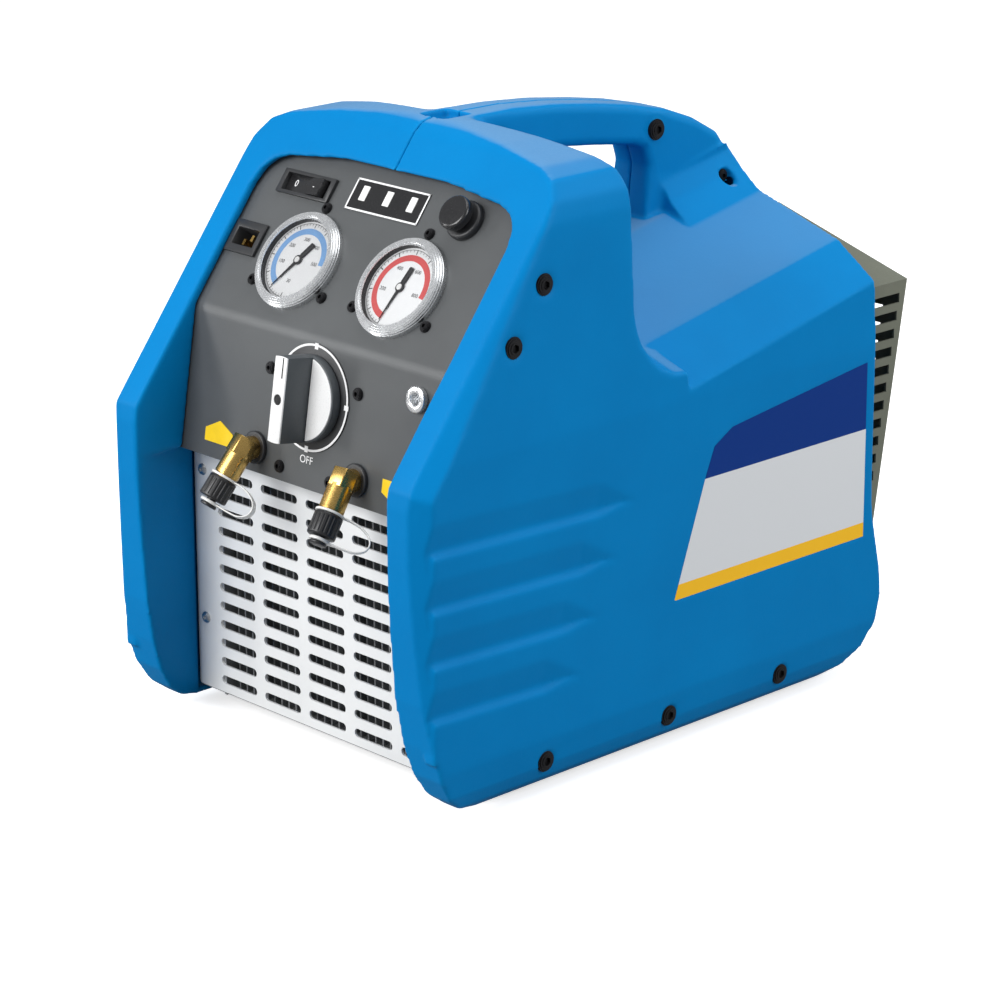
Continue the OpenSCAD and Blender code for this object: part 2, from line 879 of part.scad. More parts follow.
module low_gauge_case() { gauge_case(-1); }
module low_gauge_bezel() { gauge_bezel(-1); }
module low_gauge_dial() { gauge_dial(-1); }
module low_gauge_lens() { gauge_lens(-1); }
module low_gauge_needle() { gauge_needle(-1); }
module high_gauge_case() { gauge_case(1); }
module high_gauge_bezel() { gauge_bezel(1); }
module high_gauge_dial() { gauge_dial(1); }
module high_gauge_lens() { gauge_lens(1); }
module high_gauge_needle() { gauge_needle(1); }

module gauge_screws() {
  color([0.06, 0.06, 0.07])
    place()
      for (s = [-1, 1])
        at_gauge(s)
          for (a = [90, 210, 330])
            rotate(a)
              translate([bez_r + 4, 0, 0])
                dome_screw(3, 2.2, 1.4, panel_t + 5);
}

// Selector valve

module selector_plate() {
  color([0.1, 0.1, 0.11])
    place()
      on_low()
        difference() {
          bar_y(0, plate_y, panel_y, dial_z, dial_d / 2);
          bar_y(0, plate_y - 1, panel_y + 1, dial_z, stem_d / 2 + 1);
        }
}

// skirt and grip bar of the knob
module selector_knob() {
  color([0.33, 0.35, 0.37])
    place()
      on_low()
        difference() {
          union() {
            bar_y(0, knob_y - 5.8, knob_y, dial_z, knob_d / 2);
            intersection() {
              span([-4.6, knob_y - 22.4, dial_z - 30], [4.6, knob_y - 5, dial_z + 30]);
              bar_y(0, knob_y - 30, knob_y, dial_z, knob_d / 2);
            }
          }
          bar_y(0, knob_y - 14, knob_y + 1, dial_z, stem_d / 2 + 0.02);
          bar_y(0, knob_y - 24, knob_y - 18, dial_z, 2.4);
        }
}

// white facings on the front of the grip bar and on the skirt
module selector_grip() {
  color([0.92, 0.92, 0.91])
    place()
      on_low()
        difference() {
          union() {
            intersection() {
              span([-4.6, knob_y - 23.2, dial_z - 30], [4.6, knob_y - 22.4, dial_z + 30]);
              bar_y(0, knob_y - 30, knob_y, dial_z, knob_d / 2);
            }
            difference() {
              bar_y(0, knob_y - 6.4, knob_y - 5.8, dial_z, knob_d / 2 - 0.4);
              span([-4.6, knob_y - 8, dial_z - 30], [4.6, knob_y, dial_z + 30]);
            }
          }
          bar_y(0, knob_y - 25, knob_y - 20, dial_z, 2.9);
          span([-0.5, knob_y - 25, dial_z + 13], [0.5, knob_y - 20, dial_z + 30]);
        }
}

module selector_stem() {
  color([0.7, 0.71, 0.72])
    place()
      on_low()
        bar_y(0, knob_y - 14, valve_y - 8, dial_z, stem_d / 2);
}

module valve_manifold() {
  color([0.7, 0.71, 0.73])
    place()
      on_low()
        difference() {
          span([-port_x - 17, grille_y, port_z - 8], [port_x + 17, valve_y, dial_z + 14.5]);
          bar_y(0, grille_y - 1, valve_y - 7.5, dial_z, stem_d / 2 + stem_gap);
          for (s = [-1, 1]) {
            bar_y(s * port_x, grille_y - 1, grille_y + 17, port_z, 6.25);
            bar_y(s * (dial_d / 2 + 6), grille_y - 1, grille_y + 12, dial_z + 9, 1.45);
            bar_y(s * (port_x - 20), grille_y - 1, grille_y + 12, port_z - 5.8, 1.45);
          }
        }
}

module plate_screws() {
  color([0.06, 0.06, 0.07])
    place()
      on_low()
        for (s = [-1, 1])
          translate([s * (dial_d / 2 + 6), panel_y, dial_z + 9])
            rotate([90, 0, 0])
              dome_screw(3.4, 2.2, 1.4, 12);
}

// Switch, inlet, breaker and lamps

module switch_bezel() {
  color([0.09, 0.09, 0.1])
    place()
      on_panel()
        translate([-switch_x, switch_s, 0])
          difference() {
            union() {
              span([-20.5, -7, 0], [20.5, 7, 2]);
              span([-18, -6, -20], [18, 6, 1]);
            }
            span([-17.2, -5.2, -8.5], [17.2, 5.2, 3]);
            translate([0, 7, -3.5])
              rotate([90, 0, 0])
                cylinder(r = 1.55, h = 14);
          }
}

module switch_rocker() {
  color([0.05, 0.05, 0.05])
    place()
      on_panel()
        translate([-switch_x, switch_s, -3.5])
          rotate([0, -10, 0])
            rotate([90, 0, 0]) {
              translate([0, 0, -4.9])
                linear_extrude(9.8)
                  polygon([[-15.5, 1.5], [-4, -3.5], [4, -3.5], [15.5, 1.5],
                    [15.5, 6], [0, 4.2], [-15.5, 6]]);
              translate([0, 0, -5.9])
                cylinder(r = 1.5, h = 11.8);
            }
}

module power_inlet() {
  color([0.08, 0.08, 0.09])
    place()
      on_panel()
        translate([-inlet_x, inlet_s, 0])
          difference() {
            union() {
              span([-12, -9.5, 0], [12, 9.5, 2]);
              span([-10.5, -7, -20], [10.5, 7, 1]);
            }
            span([-8.5, -5, -14], [8.5, 5, 3]);
          }
}

module inlet_pins() {
  color([0.78, 0.7, 0.45])
    place()
      on_panel()
        translate([-inlet_x, inlet_s, -14])
          for (p = [[-5, -1.5], [0, 1.5], [5, -1.5]])
            span([p[0] - 0.9, p[1] - 1.8, 0], [p[0] + 0.9, p[1] + 1.8, 11]);
}

module breaker_collar() {
  color([0.09, 0.09, 0.1])
    place()
      on_panel()
        translate([breaker_x, breaker_s, 0])
          difference() {
            union() {
              cylinder(r = 11, h = 3);
              translate([0, 0, 3])
                cylinder(r1 = 11, r2 = 10, h = 1);
              translate([0, 0, -22])
                cylinder(r = 8, h = 23);
            }
            translate([0, 0, -16])
              cylinder(r = 5.05, h = 30);
          }
}

module breaker_button() {
  color([0.05, 0.05, 0.05])
    place()
      on_panel()
        translate([breaker_x, breaker_s, 0]) {
          translate([0, 0, -10])
            cylinder(r = 5, h = 18);
          translate([0, 0, 4.4 + press])
            cylinder(r = 9.5, h = 4.2);
          translate([0, 0, 8.6 + press])
            cylinder(r1 = 9.5, r2 = 8.5, h = 1);
        }
}

module indicator_window() {
  color([0.13, 0.13, 0.14])
    place()
      on_panel()
        difference() {
          span([-28, row_s - row_h / 2, 0], [28, row_s + row_h / 2, 0.6]);
          for (x = [-18.5, 0, 18.5])
            span([x - 2.4, row_s - 3.15, -1], [x + 2.4, row_s + 5.45, 2]);
        }
}

module indicator_lamps() {
  color([0.97, 0.97, 0.95])
    place()
      on_panel()
        for (x = [-18.5, 0, 18.5])
          span([x - 2.4, row_s - 3.15, -8], [x + 2.4, row_s + 5.45, 1]);
}

module oil_drain() {
  color([0.8, 0.81, 0.82])
    place()
      on_low()
        difference() {
          union() {
            bar_y(drain_x, panel_y - 3.5, panel_y, dial_z + 15.5, 6.8);
            bar_y(drain_x, panel_y - 1, panel_y + 22, dial_z + 15.5, 4);
          }
          bar_y(drain_x, panel_y - 5, panel_y + 8, dial_z + 15.5, 3.2);
        }
}

// Ports, drawn along their own axis with Z pointing out of the machine

module at_port(s) {
  translate([s * port_x, panel_y - port_n, port_z])
    rotate([0, 90 + port_drop, -90 + s * port_turn])
      children();
}

module port_boss(s) {
  color([0.1, 0.1, 0.11])
    place()
      on_low()
        difference() {
          bar_y(s * port_x, panel_y - 2.5, panel_y, port_z, 8.8);
          bar_y(s * port_x, panel_y - 10, panel_y + 1, port_z, 6.25);
        }
}

// elbow with a six sided block at its corner, then the flare end with its thread
module port_body(s) {
  color([0.74, 0.58, 0.28])
    place()
      on_low()
        difference() {
          union() {
            bar_y(s * port_x, panel_y - port_n, grille_y + 16, port_z, 6.2);
            at_port(s) {
              translate([0, 0, -5.6])
                cylinder(r = 7.6, h = 10, $fn = 6);
              cylinder(r = 6.8, h = 17.4);
              translate([0, 0, 17])
                cylinder(r = thread_d / 2, h = 8.6);
              translate([0, 0, 25.6])
                cylinder(r1 = thread_d / 2, r2 = thread_d / 2 - 1.8, h = 2);
            }
          }
          at_port(s)
            translate([0, 0, 3])
              cylinder(r = 2.4, h = 40);
        }
}

module port_seal(s) {
  color([0.12, 0.12, 0.12])
    place()
      on_low()
        at_port(s)
          translate([0, 0, 27.65])
            cylinder(r = thread_d / 2 - 0.3, h = 1.3);
}

module port_cap(s) {
  color([0.05, 0.05, 0.05])
    place()
      on_low()
        at_port(s)
          difference() {
            union() {
              translate([0, 0, 18.9])
                cylinder(r = 7.6, h = 12);
              translate([0, 0, 30.5])
                cylinder(r = 2.6, h = 4);
              translate([0, 0, 34.3])
                cylinder(r = 3.8, h = 1.1);
            }
            translate([0, 0, 17])
              cylinder(r = thread_d / 2 + cap_gap, h = 12);
            for (a = [0:24:336])
              rotate(a)
                translate([8.5, 0, 20.4])
                  cylinder(r = 1.3, h = 10.4);
          }
}

module port_strap(s) {
  color([0.9, 0.9, 0.88])
    place()
      on_low()
        at_port(s) {
          translate([0, 0, 17.5])
            difference() {
              cylinder(r = 7.4, h = 1.2);
              translate([0, 0, -1])
                cylinder(r = thread_d / 2 + 0.5, h = 4);
            }
          translate([0, 0, 32.4])
            difference() {
              cylinder(r = 5.2, h = 1.6);
              translate([0, 0, -1])
                cylinder(r = 2.9, h = 4);
            }
          rotate(60)
            rotate([90, 0, 0])
              translate([0, 0, -1.8])
                linear_extrude(3.6)
                  polygon([[6.6, 17.5], [12, 17.7], [17.6, 19.4], [20.6, 23], [20.8, 27.4], [18, 31.6],
                    [12.4, 33.8], [4.6, 34], [4.6, 32.5], [12, 32.3], [16.8, 30.5], [19.2, 27],
                    [19, 23.4], [16.8, 20.7], [12, 18.9], [6.6, 18.7]]);
        }
}

module in_boss() { port_boss(-1); }
module in_port() { port_body(-1); }
module in_seal() { port_seal(-1); }
module in_cap() { port_cap(-1); }
module in_strap() { port_strap(-1); }
module out_boss() { port_boss(1); }
module out_port() { port_body(1); }
module out_seal() { port_seal(1); }
module out_cap() { port_cap(1); }
module out_strap() { port_strap(1); }

module boss_screws() {
  color([0.06, 0.06, 0.07])
    place()
      on_low()
        for (s = [-1, 1])
          translate([s * (port_x - 20), panel_y, port_z - 5.8])
            rotate([90, 0, 0])
              dome_screw(3.4, 2.2, 1.4, 12);
}

module flow_arrows() {
  color([0.98, 0.82, 0.05])
    place()
      on_low() {
        translate([-ow + 28.75, 0, port_z - 4.75])
          along(panel_y - 0.4, panel_y)
            polygon([[-11.25, 0], [11.25, 0], [11.25, 7], [0, 12.4], [-11.25, 7]]);
        translate([ow - 28.75, 0, port_z + 5.2])
          along(panel_y - 0.4, panel_y)
            polygon([[-11.25, 0], [-11.25, -7], [0, -12.4], [11.25, -7], [11.25, 0]]);
      }
}

// Drive and cooling

module condenser() {
  color([0.55, 0.57, 0.58])
    place()
      difference() {
        union() {
          for (s = [0, 1])
            mirror([s, 0, 0]) {
              span([86, back_y, floor_z], [88, fan_y - 13, panel_z - 6.2]);
              span([86, back_y, 30], [grille_w - roll_r - 0.5, back_y + 1.5, panel_z - 6.2]);
            }
          span([-86, grille_y + 20, 12], [86, grille_y + 28, panel_z - 12.2]);
          for (i = [-14:14])
            span([i * 5.9 - 0.5, grille_y + 8, 8], [i * 5.9 + 0.5, fan_y - 19, panel_z - 9.2]);
        }
        for (s = [-1, 1])
          for (z = grille_screw_z)
            bar_y(s * grille_screw_x, back_y - 1, back_y + 3, z, 1.55);
      }
}

module fan_shroud() {
  color([0.15, 0.15, 0.16])
    place()
      difference() {
        union() {
          span([-88, fan_y - 13, floor_z], [88, fan_y - 11, axis_z + fan_d / 2 + 6.5]);
          bar_y(0, fan_y - 12, fan_y + 8, axis_z, fan_d / 2 + 5.5);
        }
        bar_y(0, fan_y - 15, fan_y + 15, axis_z, fan_d / 2 + 3);
      }
}

module fan() {
  color([0.12, 0.12, 0.13])
    place()
      difference() {
        union() {
          bar_y(0, fan_y - 8, fan_y + 8, axis_z, 20);
          intersection() {
            translate([0, fan_y, axis_z])
              for (a = [0:72:288])
                rotate([0, a, 0])
                  rotate([0, 0, 34])
                    span([-15, -1, 17], [15, 1, fan_d]);
            bar_y(0, fan_y - 10, fan_y + 11, axis_z, fan_d / 2);
          }
        }
        bar_y(0, fan_y - 15, fan_y + 15, axis_z, shaft_d / 2 + 0.02);
      }
}

module motor_shaft() {
  color([0.72, 0.73, 0.74])
    place()
      bar_y(0, fan_y - 9.5, comp_y - 1, axis_z, shaft_d / 2);
}

module motor() {
  color([0.25, 0.27, 0.3])
    place()
      difference() {
        union() {
          bar_y(0, motor_y + 6, motor_y + motor_l - 6, axis_z, motor_d / 2);
          bar_y(0, motor_y, motor_y + motor_l, axis_z, motor_d / 2 - 7);
          span([-26, motor_y + 28, axis_z + 20], [26, motor_y + 76, axis_z + motor_d / 2 + 12]);
        }
        bar_y(0, motor_y - 8, motor_y + motor_l + 8, axis_z, shaft_d / 2 + shaft_gap);
      }
}

module motor_cradle() {
  color([0.4, 0.41, 0.42])
    place()
      difference() {
        union() {
          for (y = [motor_y + 16, motor_y + motor_l - 30])
            span([-40, y, floor_z], [40, y + 12, axis_z - 22]);
          span([-40, motor_y + 10, floor_z], [40, motor_y + motor_l - 12, floor_z + 4]);
        }
        bar_y(0, motor_y + 2, motor_y + motor_l - 2, axis_z, motor_d / 2);
      }
}

module compressor() {
  color([0.62, 0.63, 0.64])
    place()
      difference() {
        union() {
          span([-38, comp_y - 37, 30], [38, comp_y + 37, axis_z + 44]);
          bar_y(0, comp_y - 41, comp_y - 35, axis_z, 40);
          span([-30, comp_y - 27, floor_z + 3], [30, comp_y + 27, 32]);
          span([-46, comp_y - 31, floor_z], [46, comp_y + 31, floor_z + 4]);
          for (s = [0, 1])
            mirror([s, 0, 0]) {
              bar_x(36, 80, comp_y, axis_z, 24);
              for (i = [0:4])
                bar_x(42 + i * 8, 44.5 + i * 8, comp_y, axis_z, 31);
            }
        }
        bar_y(0, comp_y - 43, comp_y + 1, axis_z, shaft_d / 2 + shaft_gap);
      }
}

module cylinder_heads() {
  color([0.66, 0.67, 0.68])
    place()
      for (s = [0, 1])
        mirror([s, 0, 0])
          difference() {
            span([80, comp_y - 30, axis_z - 30], [97, comp_y + 30, axis_z + 30]);
            for (i = [-2:2])
              span([89, comp_y - 2 + i * 11, axis_z - 40], [98, comp_y + 2 + i * 11, axis_z + 40]);
          }
}

function stem_end(s, l) = [s * gauge_x, panel_y + gauge_s * sin(lean) + l * cos(lean),
  bend_z + gauge_s * cos(lean) - l * sin(lean)];

module copper_pipes() {
  color([0.72, 0.42, 0.25])
    place() {
      for (s = [-1, 1]) {
        pipe([low_at([s * 25, valve_y, dial_z - 15.5]), low_at([s * 25, valve_y + 32, dial_z - 15.5]),
          [s * 84.5, valve_y + 70, dial_z - 23.5], [s * 84.5, comp_y + 1, dial_z - 45.5],
          [s * 84.5, comp_y + 1, axis_z + 30]], 4);
        pipe([stem_end(s, 34.9), low_at([s * gauge_x, valve_y + 32, dial_z + 4.5]),
          low_at([s * gauge_x, valve_y, dial_z + 4.5])], 1.8);
      }
    }
}

module capacitor() {
  color([0.85, 0.85, 0.84])
    place() {
      translate([cap_x, motor_y + 47, floor_z])
        cylinder(r = 19, h = 74);
      for (y = [motor_y + 40, motor_y + 54])
        span([cap_x - 3, y - 3, floor_z + 73], [cap_x + 3, y + 3, floor_z + 82]);
    }
}

module control_board() {
  color([0.1, 0.4, 0.22])
    place() {
      translate([-board_x, motor_y + 12, floor_z]) {
        span([0, 0, 0], [22, 74, 1.5]);
        span([0, 0, 0], [1.5, 74, 91]);
        for (y = [8, 66])
          for (z = [21, 81])
            bar_x(1, 8, y, z, 2.5);
        span([7, 2, 15], [8.6, 72, 87]);
        span([8.5, 10, 55], [24, 34, 79]);
        span([8.5, 42, 51], [20, 66, 79]);
        span([8.5, 10, 23], [16, 60, 39]);
      }
    }
}

left_shell();
right_shell();
shell_screws();
control_panel();
front_grille();
grille_screws();
rear_cowl();
cowl_screws();
base_plate();
rubber_feet();
side_decal();
low_gauge_case();
low_gauge_bezel();
low_gauge_dial();
low_gauge_lens();
low_gauge_needle();
high_gauge_case();
high_gauge_bezel();
high_gauge_dial();
high_gauge_lens();
high_gauge_needle();
gauge_screws();
selector_plate();
selector_knob();
selector_grip();
selector_stem();
valve_manifold();
plate_screws();
switch_bezel();
switch_rocker();
power_inlet();
inlet_pins();
breaker_collar();
breaker_button();
indicator_window();
indicator_lamps();
oil_drain();
in_boss();
in_port();
in_seal();
in_cap();
in_strap();
out_boss();
out_port();
out_seal();
out_cap();
out_strap();
boss_screws();
flow_arrows();
condenser();
fan_shroud();
fan();
motor_shaft();
motor();
motor_cradle();
compressor();
cylinder_heads();
copper_pipes();
capacitor();
control_board();
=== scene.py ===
import json
import math
import bpy
import bmesh
from mathutils import Matrix, Vector


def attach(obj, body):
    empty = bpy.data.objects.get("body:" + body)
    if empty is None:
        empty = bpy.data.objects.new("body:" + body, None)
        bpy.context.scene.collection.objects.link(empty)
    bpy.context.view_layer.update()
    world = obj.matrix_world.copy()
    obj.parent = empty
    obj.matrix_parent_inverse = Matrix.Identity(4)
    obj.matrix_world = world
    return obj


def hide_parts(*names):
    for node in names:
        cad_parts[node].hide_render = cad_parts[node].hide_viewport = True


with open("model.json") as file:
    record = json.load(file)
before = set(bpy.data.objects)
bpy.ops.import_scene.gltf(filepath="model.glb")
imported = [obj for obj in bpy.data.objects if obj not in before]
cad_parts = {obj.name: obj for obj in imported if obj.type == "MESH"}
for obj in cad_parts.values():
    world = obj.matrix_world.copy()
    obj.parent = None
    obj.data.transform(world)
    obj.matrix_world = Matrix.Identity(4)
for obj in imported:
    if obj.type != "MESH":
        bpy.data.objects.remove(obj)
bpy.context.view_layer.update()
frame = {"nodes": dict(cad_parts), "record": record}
nodes = frame["nodes"]
scene = bpy.context.scene
scene.view_settings.view_transform = "Standard"
print("stage: frame loaded,", len(nodes), "nodes")

mm = 0.001
machine = {"length": 400, "foot": 5, "lean": 37, "panelY": 44.4, "bendZ": 226, "dialZ": 195.5, "lowLean": 9}


# places: millimetres behind the front rim and above the shell bottom
def place(x, y, z):
    return Vector((x * mm, (y - machine["length"] / 2) * mm, (z + machine["foot"]) * mm))


def rad(a):
    return math.radians(a)


def frameOf(origin, xAxis, yAxis, zAxis):
    m = Matrix.Identity(4)
    for i, v in enumerate((xAxis, yAxis, zAxis, origin)):
        for k in range(3):
            m[k][i] = v[k]
    return m


leanSin, leanCos = math.sin(rad(machine["lean"])), math.cos(rad(machine["lean"]))
lowSin, lowCos = math.sin(rad(machine["lowLean"])), math.cos(rad(machine["lowLean"]))
bend = place(0, machine["panelY"], machine["bendZ"])
slope = frameOf(bend, (1, 0, 0), (0, leanSin, leanCos), (0, -leanCos, leanSin))
lower = frameOf(bend, (1, 0, 0), (0, lowSin, lowCos), (0, -lowCos, lowSin))


def onSlope(x, s, n=0.0):
    return slope @ Matrix.Translation((x * mm, s * mm, n * mm))


def onFront(x, z):
    return lower @ Matrix.Translation((x * mm, (z - machine["bendZ"]) * mm, 0))


def portSeat(side):
    # along the port's own axis, in the lower panel's turned frame
    tilt = Matrix.Translation(bend) @ Matrix.Rotation(rad(-machine["lowLean"]), 4, "X")
    offset = (port["x"] * side * mm, -port["reach"] * mm, (port["z"] - machine["bendZ"]) * mm)
    turn = Matrix.Rotation(rad(-90 + port["turn"] * side), 4, "Z")
    fall = Matrix.Rotation(rad(90 + port["drop"]), 4, "Y")
    return tilt @ Matrix.Translation(offset) @ (turn @ fall)


dialSeat = onFront(0, machine["dialZ"])


# modelling helpers
def deselect():
    if bpy.context.object and bpy.context.object.mode != "OBJECT":
        bpy.ops.object.mode_set(mode="OBJECT")
    bpy.ops.object.select_all(action="DESELECT")


def pick(obj):
    deselect()
    obj.select_set(True)
    bpy.context.view_layer.objects.active = obj


def bake(obj):
    # place goes into the mesh, the object stays at the origin
    pick(obj)
    bpy.ops.object.transform_apply(location=True, rotation=True, scale=True)


def addRound(name, radius, low, high, sides=64):
    deselect()
    mid = (0, 0, (low + high) / 2 * mm)
    bpy.ops.mesh.primitive_cylinder_add(
        vertices=sides, radius=radius * mm, depth=(high - low) * mm, location=mid)
    obj = bpy.context.object
    obj.name = name
    bake(obj)
    return obj


def addBlock(name, low, high):
    deselect()
    mid = [(a + b) / 2 * mm for a, b in zip(low, high)]
    bpy.ops.mesh.primitive_cube_add(size=1, location=mid)
    obj = bpy.context.object
    obj.scale = [(b - a) * mm for a, b in zip(low, high)]
    obj.name = name
    bake(obj)
    return obj


def editAll(obj):
    # edit mode with everything selected
    pick(obj)
    bpy.ops.object.mode_set(mode="EDIT")
    bpy.ops.mesh.select_all(action="SELECT")


def pickFaces(obj, test):
    # edit mode with the faces that pass the test selected
    editAll(obj)
    bpy.ops.mesh.select_mode(type="FACE")
    bpy.ops.mesh.select_all(action="DESELECT")
    data = bmesh.from_edit_mesh(obj.data)
    for f in data.faces:
        f.select_set(bool(test(f)))
    bmesh.update_edit_mesh(obj.data)


def leaveEdit():
    bpy.ops.object.mode_set(mode="OBJECT")


def workTop(obj, steps):
    # steps of (inset, rise) on the top face, one after another
    high = max(v.co.z for v in obj.data.vertices) - 1e-6
    pickFaces(obj, lambda f: f.normal.z > 0.9 and f.calc_center_median().z > high)
    for inset, rise in steps:
        if inset:
            bpy.ops.mesh.inset(thickness=inset * mm, use_even_offset=True)
        if rise:
            bpy.ops.mesh.extrude_region_move(TRANSFORM_OT_translate={"value": (0, 0, rise * mm)})
    leaveEdit()


def modify(obj, kind, **settings):
    pick(obj)
    mod = obj.modifiers.new(kind.title(), kind)
    for key, value in settings.items():
        setattr(mod, key, value)
    bpy.ops.object.modifier_apply(modifier=mod.name)


def roundEdges(obj, width, segments=3, angle=35):
    modify(obj, "BEVEL", width=width * mm, segments=segments,
           limit_method="ANGLE", angle_limit=rad(angle), use_clamp_overlap=True)


def cutWith(obj, tool, how="DIFFERENCE"):
    modify(obj, "BOOLEAN", object=tool, operation=how, solver="EXACT")
    bpy.data.objects.remove(tool, do_unlink=True)


def joined(name, parts):
    deselect()
    for p in parts:
        p.select_set(True)
    bpy.context.view_layer.objects.active = parts[0]
    if len(parts) > 1:
        bpy.ops.object.join()
    obj = bpy.context.object
    obj.name = name
    return obj


def copyOf(obj, matrix):
    twin = obj.copy()
    twin.data = obj.data.copy()
    scene.collection.objects.link(twin)
    twin.data.transform(matrix)
    return twin


def smoothBy(obj, angle=35):
    pick(obj)
    bpy.ops.object.shade_smooth_by_angle(angle=rad(angle))


def wear(obj, paint):
    obj.data.materials.clear()
    obj.data.materials.append(paint)


def settle(obj, body, stands=(), matrix=None, angle=35):
    # place, shading, body and the nodes that the piece stands for
    if matrix is not None:
        obj.data.transform(matrix)
    smoothBy(obj, angle)
    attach(obj, body)
    if stands:
        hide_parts(*stands)


def meshObject(name, points, edges, faces):
    # from points in millimetres
    mesh = bpy.data.meshes.new(name)
    mesh.from_pydata([tuple(c * mm for c in p) for p in points], edges, faces)
    obj = bpy.data.objects.new(name, mesh)
    scene.collection.objects.link(obj)
    return obj


def flatShape(name, points, z):
    # a flat printed shape
    return meshObject(name, [(x, y, z) for x, y in points], [], [list(range(len(points)))])


def flatBand(name, inner, outer, start, end, z, steps=None):
    # a flat ring or part of one, swept from a short edge
    steps = steps or max(4, int(abs(end - start) / 3))
    a = rad(start)
    obj = meshObject(name, [(r * math.cos(a), r * math.sin(a), z) for r in (inner, outer)], [(0, 1)], [])
    editAll(obj)
    bpy.ops.mesh.spin(steps=steps, angle=rad(start - end), center=(0, 0, z * mm), axis=(0, 0, 1))
    bpy.ops.mesh.select_all(action="SELECT")
    bpy.ops.mesh.remove_doubles(threshold=1e-6)
    leaveEdit()
    faceUp(obj)
    return obj


def faceUp(obj):
    # flat marks look out of the surface that they lie on
    data = bmesh.new()
    data.from_mesh(obj.data)
    data.normal_update()
    flip = [f for f in data.faces if f.normal.z < 0]
    if flip:
        bmesh.ops.reverse_faces(data, faces=flip)
    data.to_mesh(obj.data)
    data.free()


def flatText(name, words, size, x, y, z):
    deselect()
    bpy.ops.object.text_add()
    obj = bpy.context.object
    obj.data.body = words
    obj.data.size = size * mm
    obj.data.align_x = "CENTER"
    obj.data.align_y = "CENTER"
    obj.data.resolution_u = 4
    obj.name = name
    bpy.ops.object.convert(target="MESH")
    obj = bpy.context.object
    obj.data.transform(Matrix.Translation((x * mm, y * mm, z * mm)))
    faceUp(obj)
    return obj


# finishes
def newFinish(name):
    mat = bpy.data.materials.new(name)
    mat.use_nodes = True
    tree = mat.node_tree
    return mat, tree, tree.nodes["Principled BSDF"]


def objectNoise(tree, scale, detail=3.0, rough=0.55, stretch=None):
    coords = tree.nodes.new("ShaderNodeTexCoord")
    source = coords.outputs["Object"]
    if stretch:
        mapping = tree.nodes.new("ShaderNodeMapping")
        mapping.inputs["Scale"].default_value = stretch
        tree.links.new(source, mapping.inputs["Vector"])
        source = mapping.outputs["Vector"]
    noise = tree.nodes.new("ShaderNodeTexNoise")
    noise.inputs["Scale"].default_value = scale
    noise.inputs["Detail"].default_value = detail
    noise.inputs["Roughness"].default_value = rough
    tree.links.new(source, noise.inputs["Vector"])
    return noise.outputs["Fac"]


def ramp(tree, source, stops, smooth=True):
    node = tree.nodes.new("ShaderNodeValToRGB")
    node.color_ramp.interpolation = "LINEAR" if smooth else "CONSTANT"
    while len(node.color_ramp.elements) < len(stops):
        node.color_ramp.elements.new(0.5)
    for element, (at, colour) in zip(node.color_ramp.elements, stops):
        element.position = at
        element.color = (*colour, 1.0)
    tree.links.new(source, node.inputs["Fac"])
    return node.outputs["Color"]


def spread(tree, source, low, high, fromLow=0.3, fromHigh=0.7):
    node = tree.nodes.new("ShaderNodeMapRange")
    node.inputs["From Min"].default_value = fromLow
    node.inputs["From Max"].default_value = fromHigh
    node.inputs["To Min"].default_value = low
    node.inputs["To Max"].default_value = high
    tree.links.new(source, node.inputs["Value"])
    return node.outputs["Result"]


def mixed(tree, amount, under, over):
    # two colours, each a socket or a fixed tone
    node = tree.nodes.new("ShaderNodeMix")
    node.data_type = "RGBA"
    tree.links.new(amount, node.inputs[0])
    for socket, colour in ((node.inputs[6], under), (node.inputs[7], over)):
        if isinstance(colour, tuple):
            socket.default_value = (*colour, 1.0)
        else:
            tree.links.new(colour, socket)
    return node.outputs[2]


def scaled(colour, k):
    return tuple(min(1.0, c * k) for c in colour)


def bumpFrom(tree, shader, source, strength, distance):
    bump = tree.nodes.new("ShaderNodeBump")
    bump.inputs["Strength"].default_value = strength
    bump.inputs["Distance"].default_value = distance * mm
    tree.links.new(source, bump.inputs["Height"])
    tree.links.new(bump.outputs["Normal"], shader.inputs["Normal"])


def simpleFinish(name, colour, rough, metal=0.0, vary=0.08, patch=25, grain=900, bump=0.12, depth=0.05,
                 stretch=None, coat=0.0, roughVary=0.06):
    # patchy tone, fine grain in the gloss and, where asked, in the surface
    mat, tree, shader = newFinish(name)
    shader.inputs["Metallic"].default_value = metal
    if coat:
        shader.inputs["Coat Weight"].default_value = coat
        shader.inputs["Coat Roughness"].default_value = 0.12
    tones = [(0.3, scaled(colour, 1 - vary)), (0.7, scaled(colour, 1 + vary))]
    tree.links.new(ramp(tree, objectNoise(tree, patch, 4.0), tones), shader.inputs["Base Color"])
    fine = objectNoise(tree, grain, 2.0, 0.6, stretch)
    tree.links.new(spread(tree, fine, rough - roughVary, rough + roughVary), shader.inputs["Roughness"])
    if bump:
        bumpFrom(tree, shader, fine, bump, depth)
    return mat


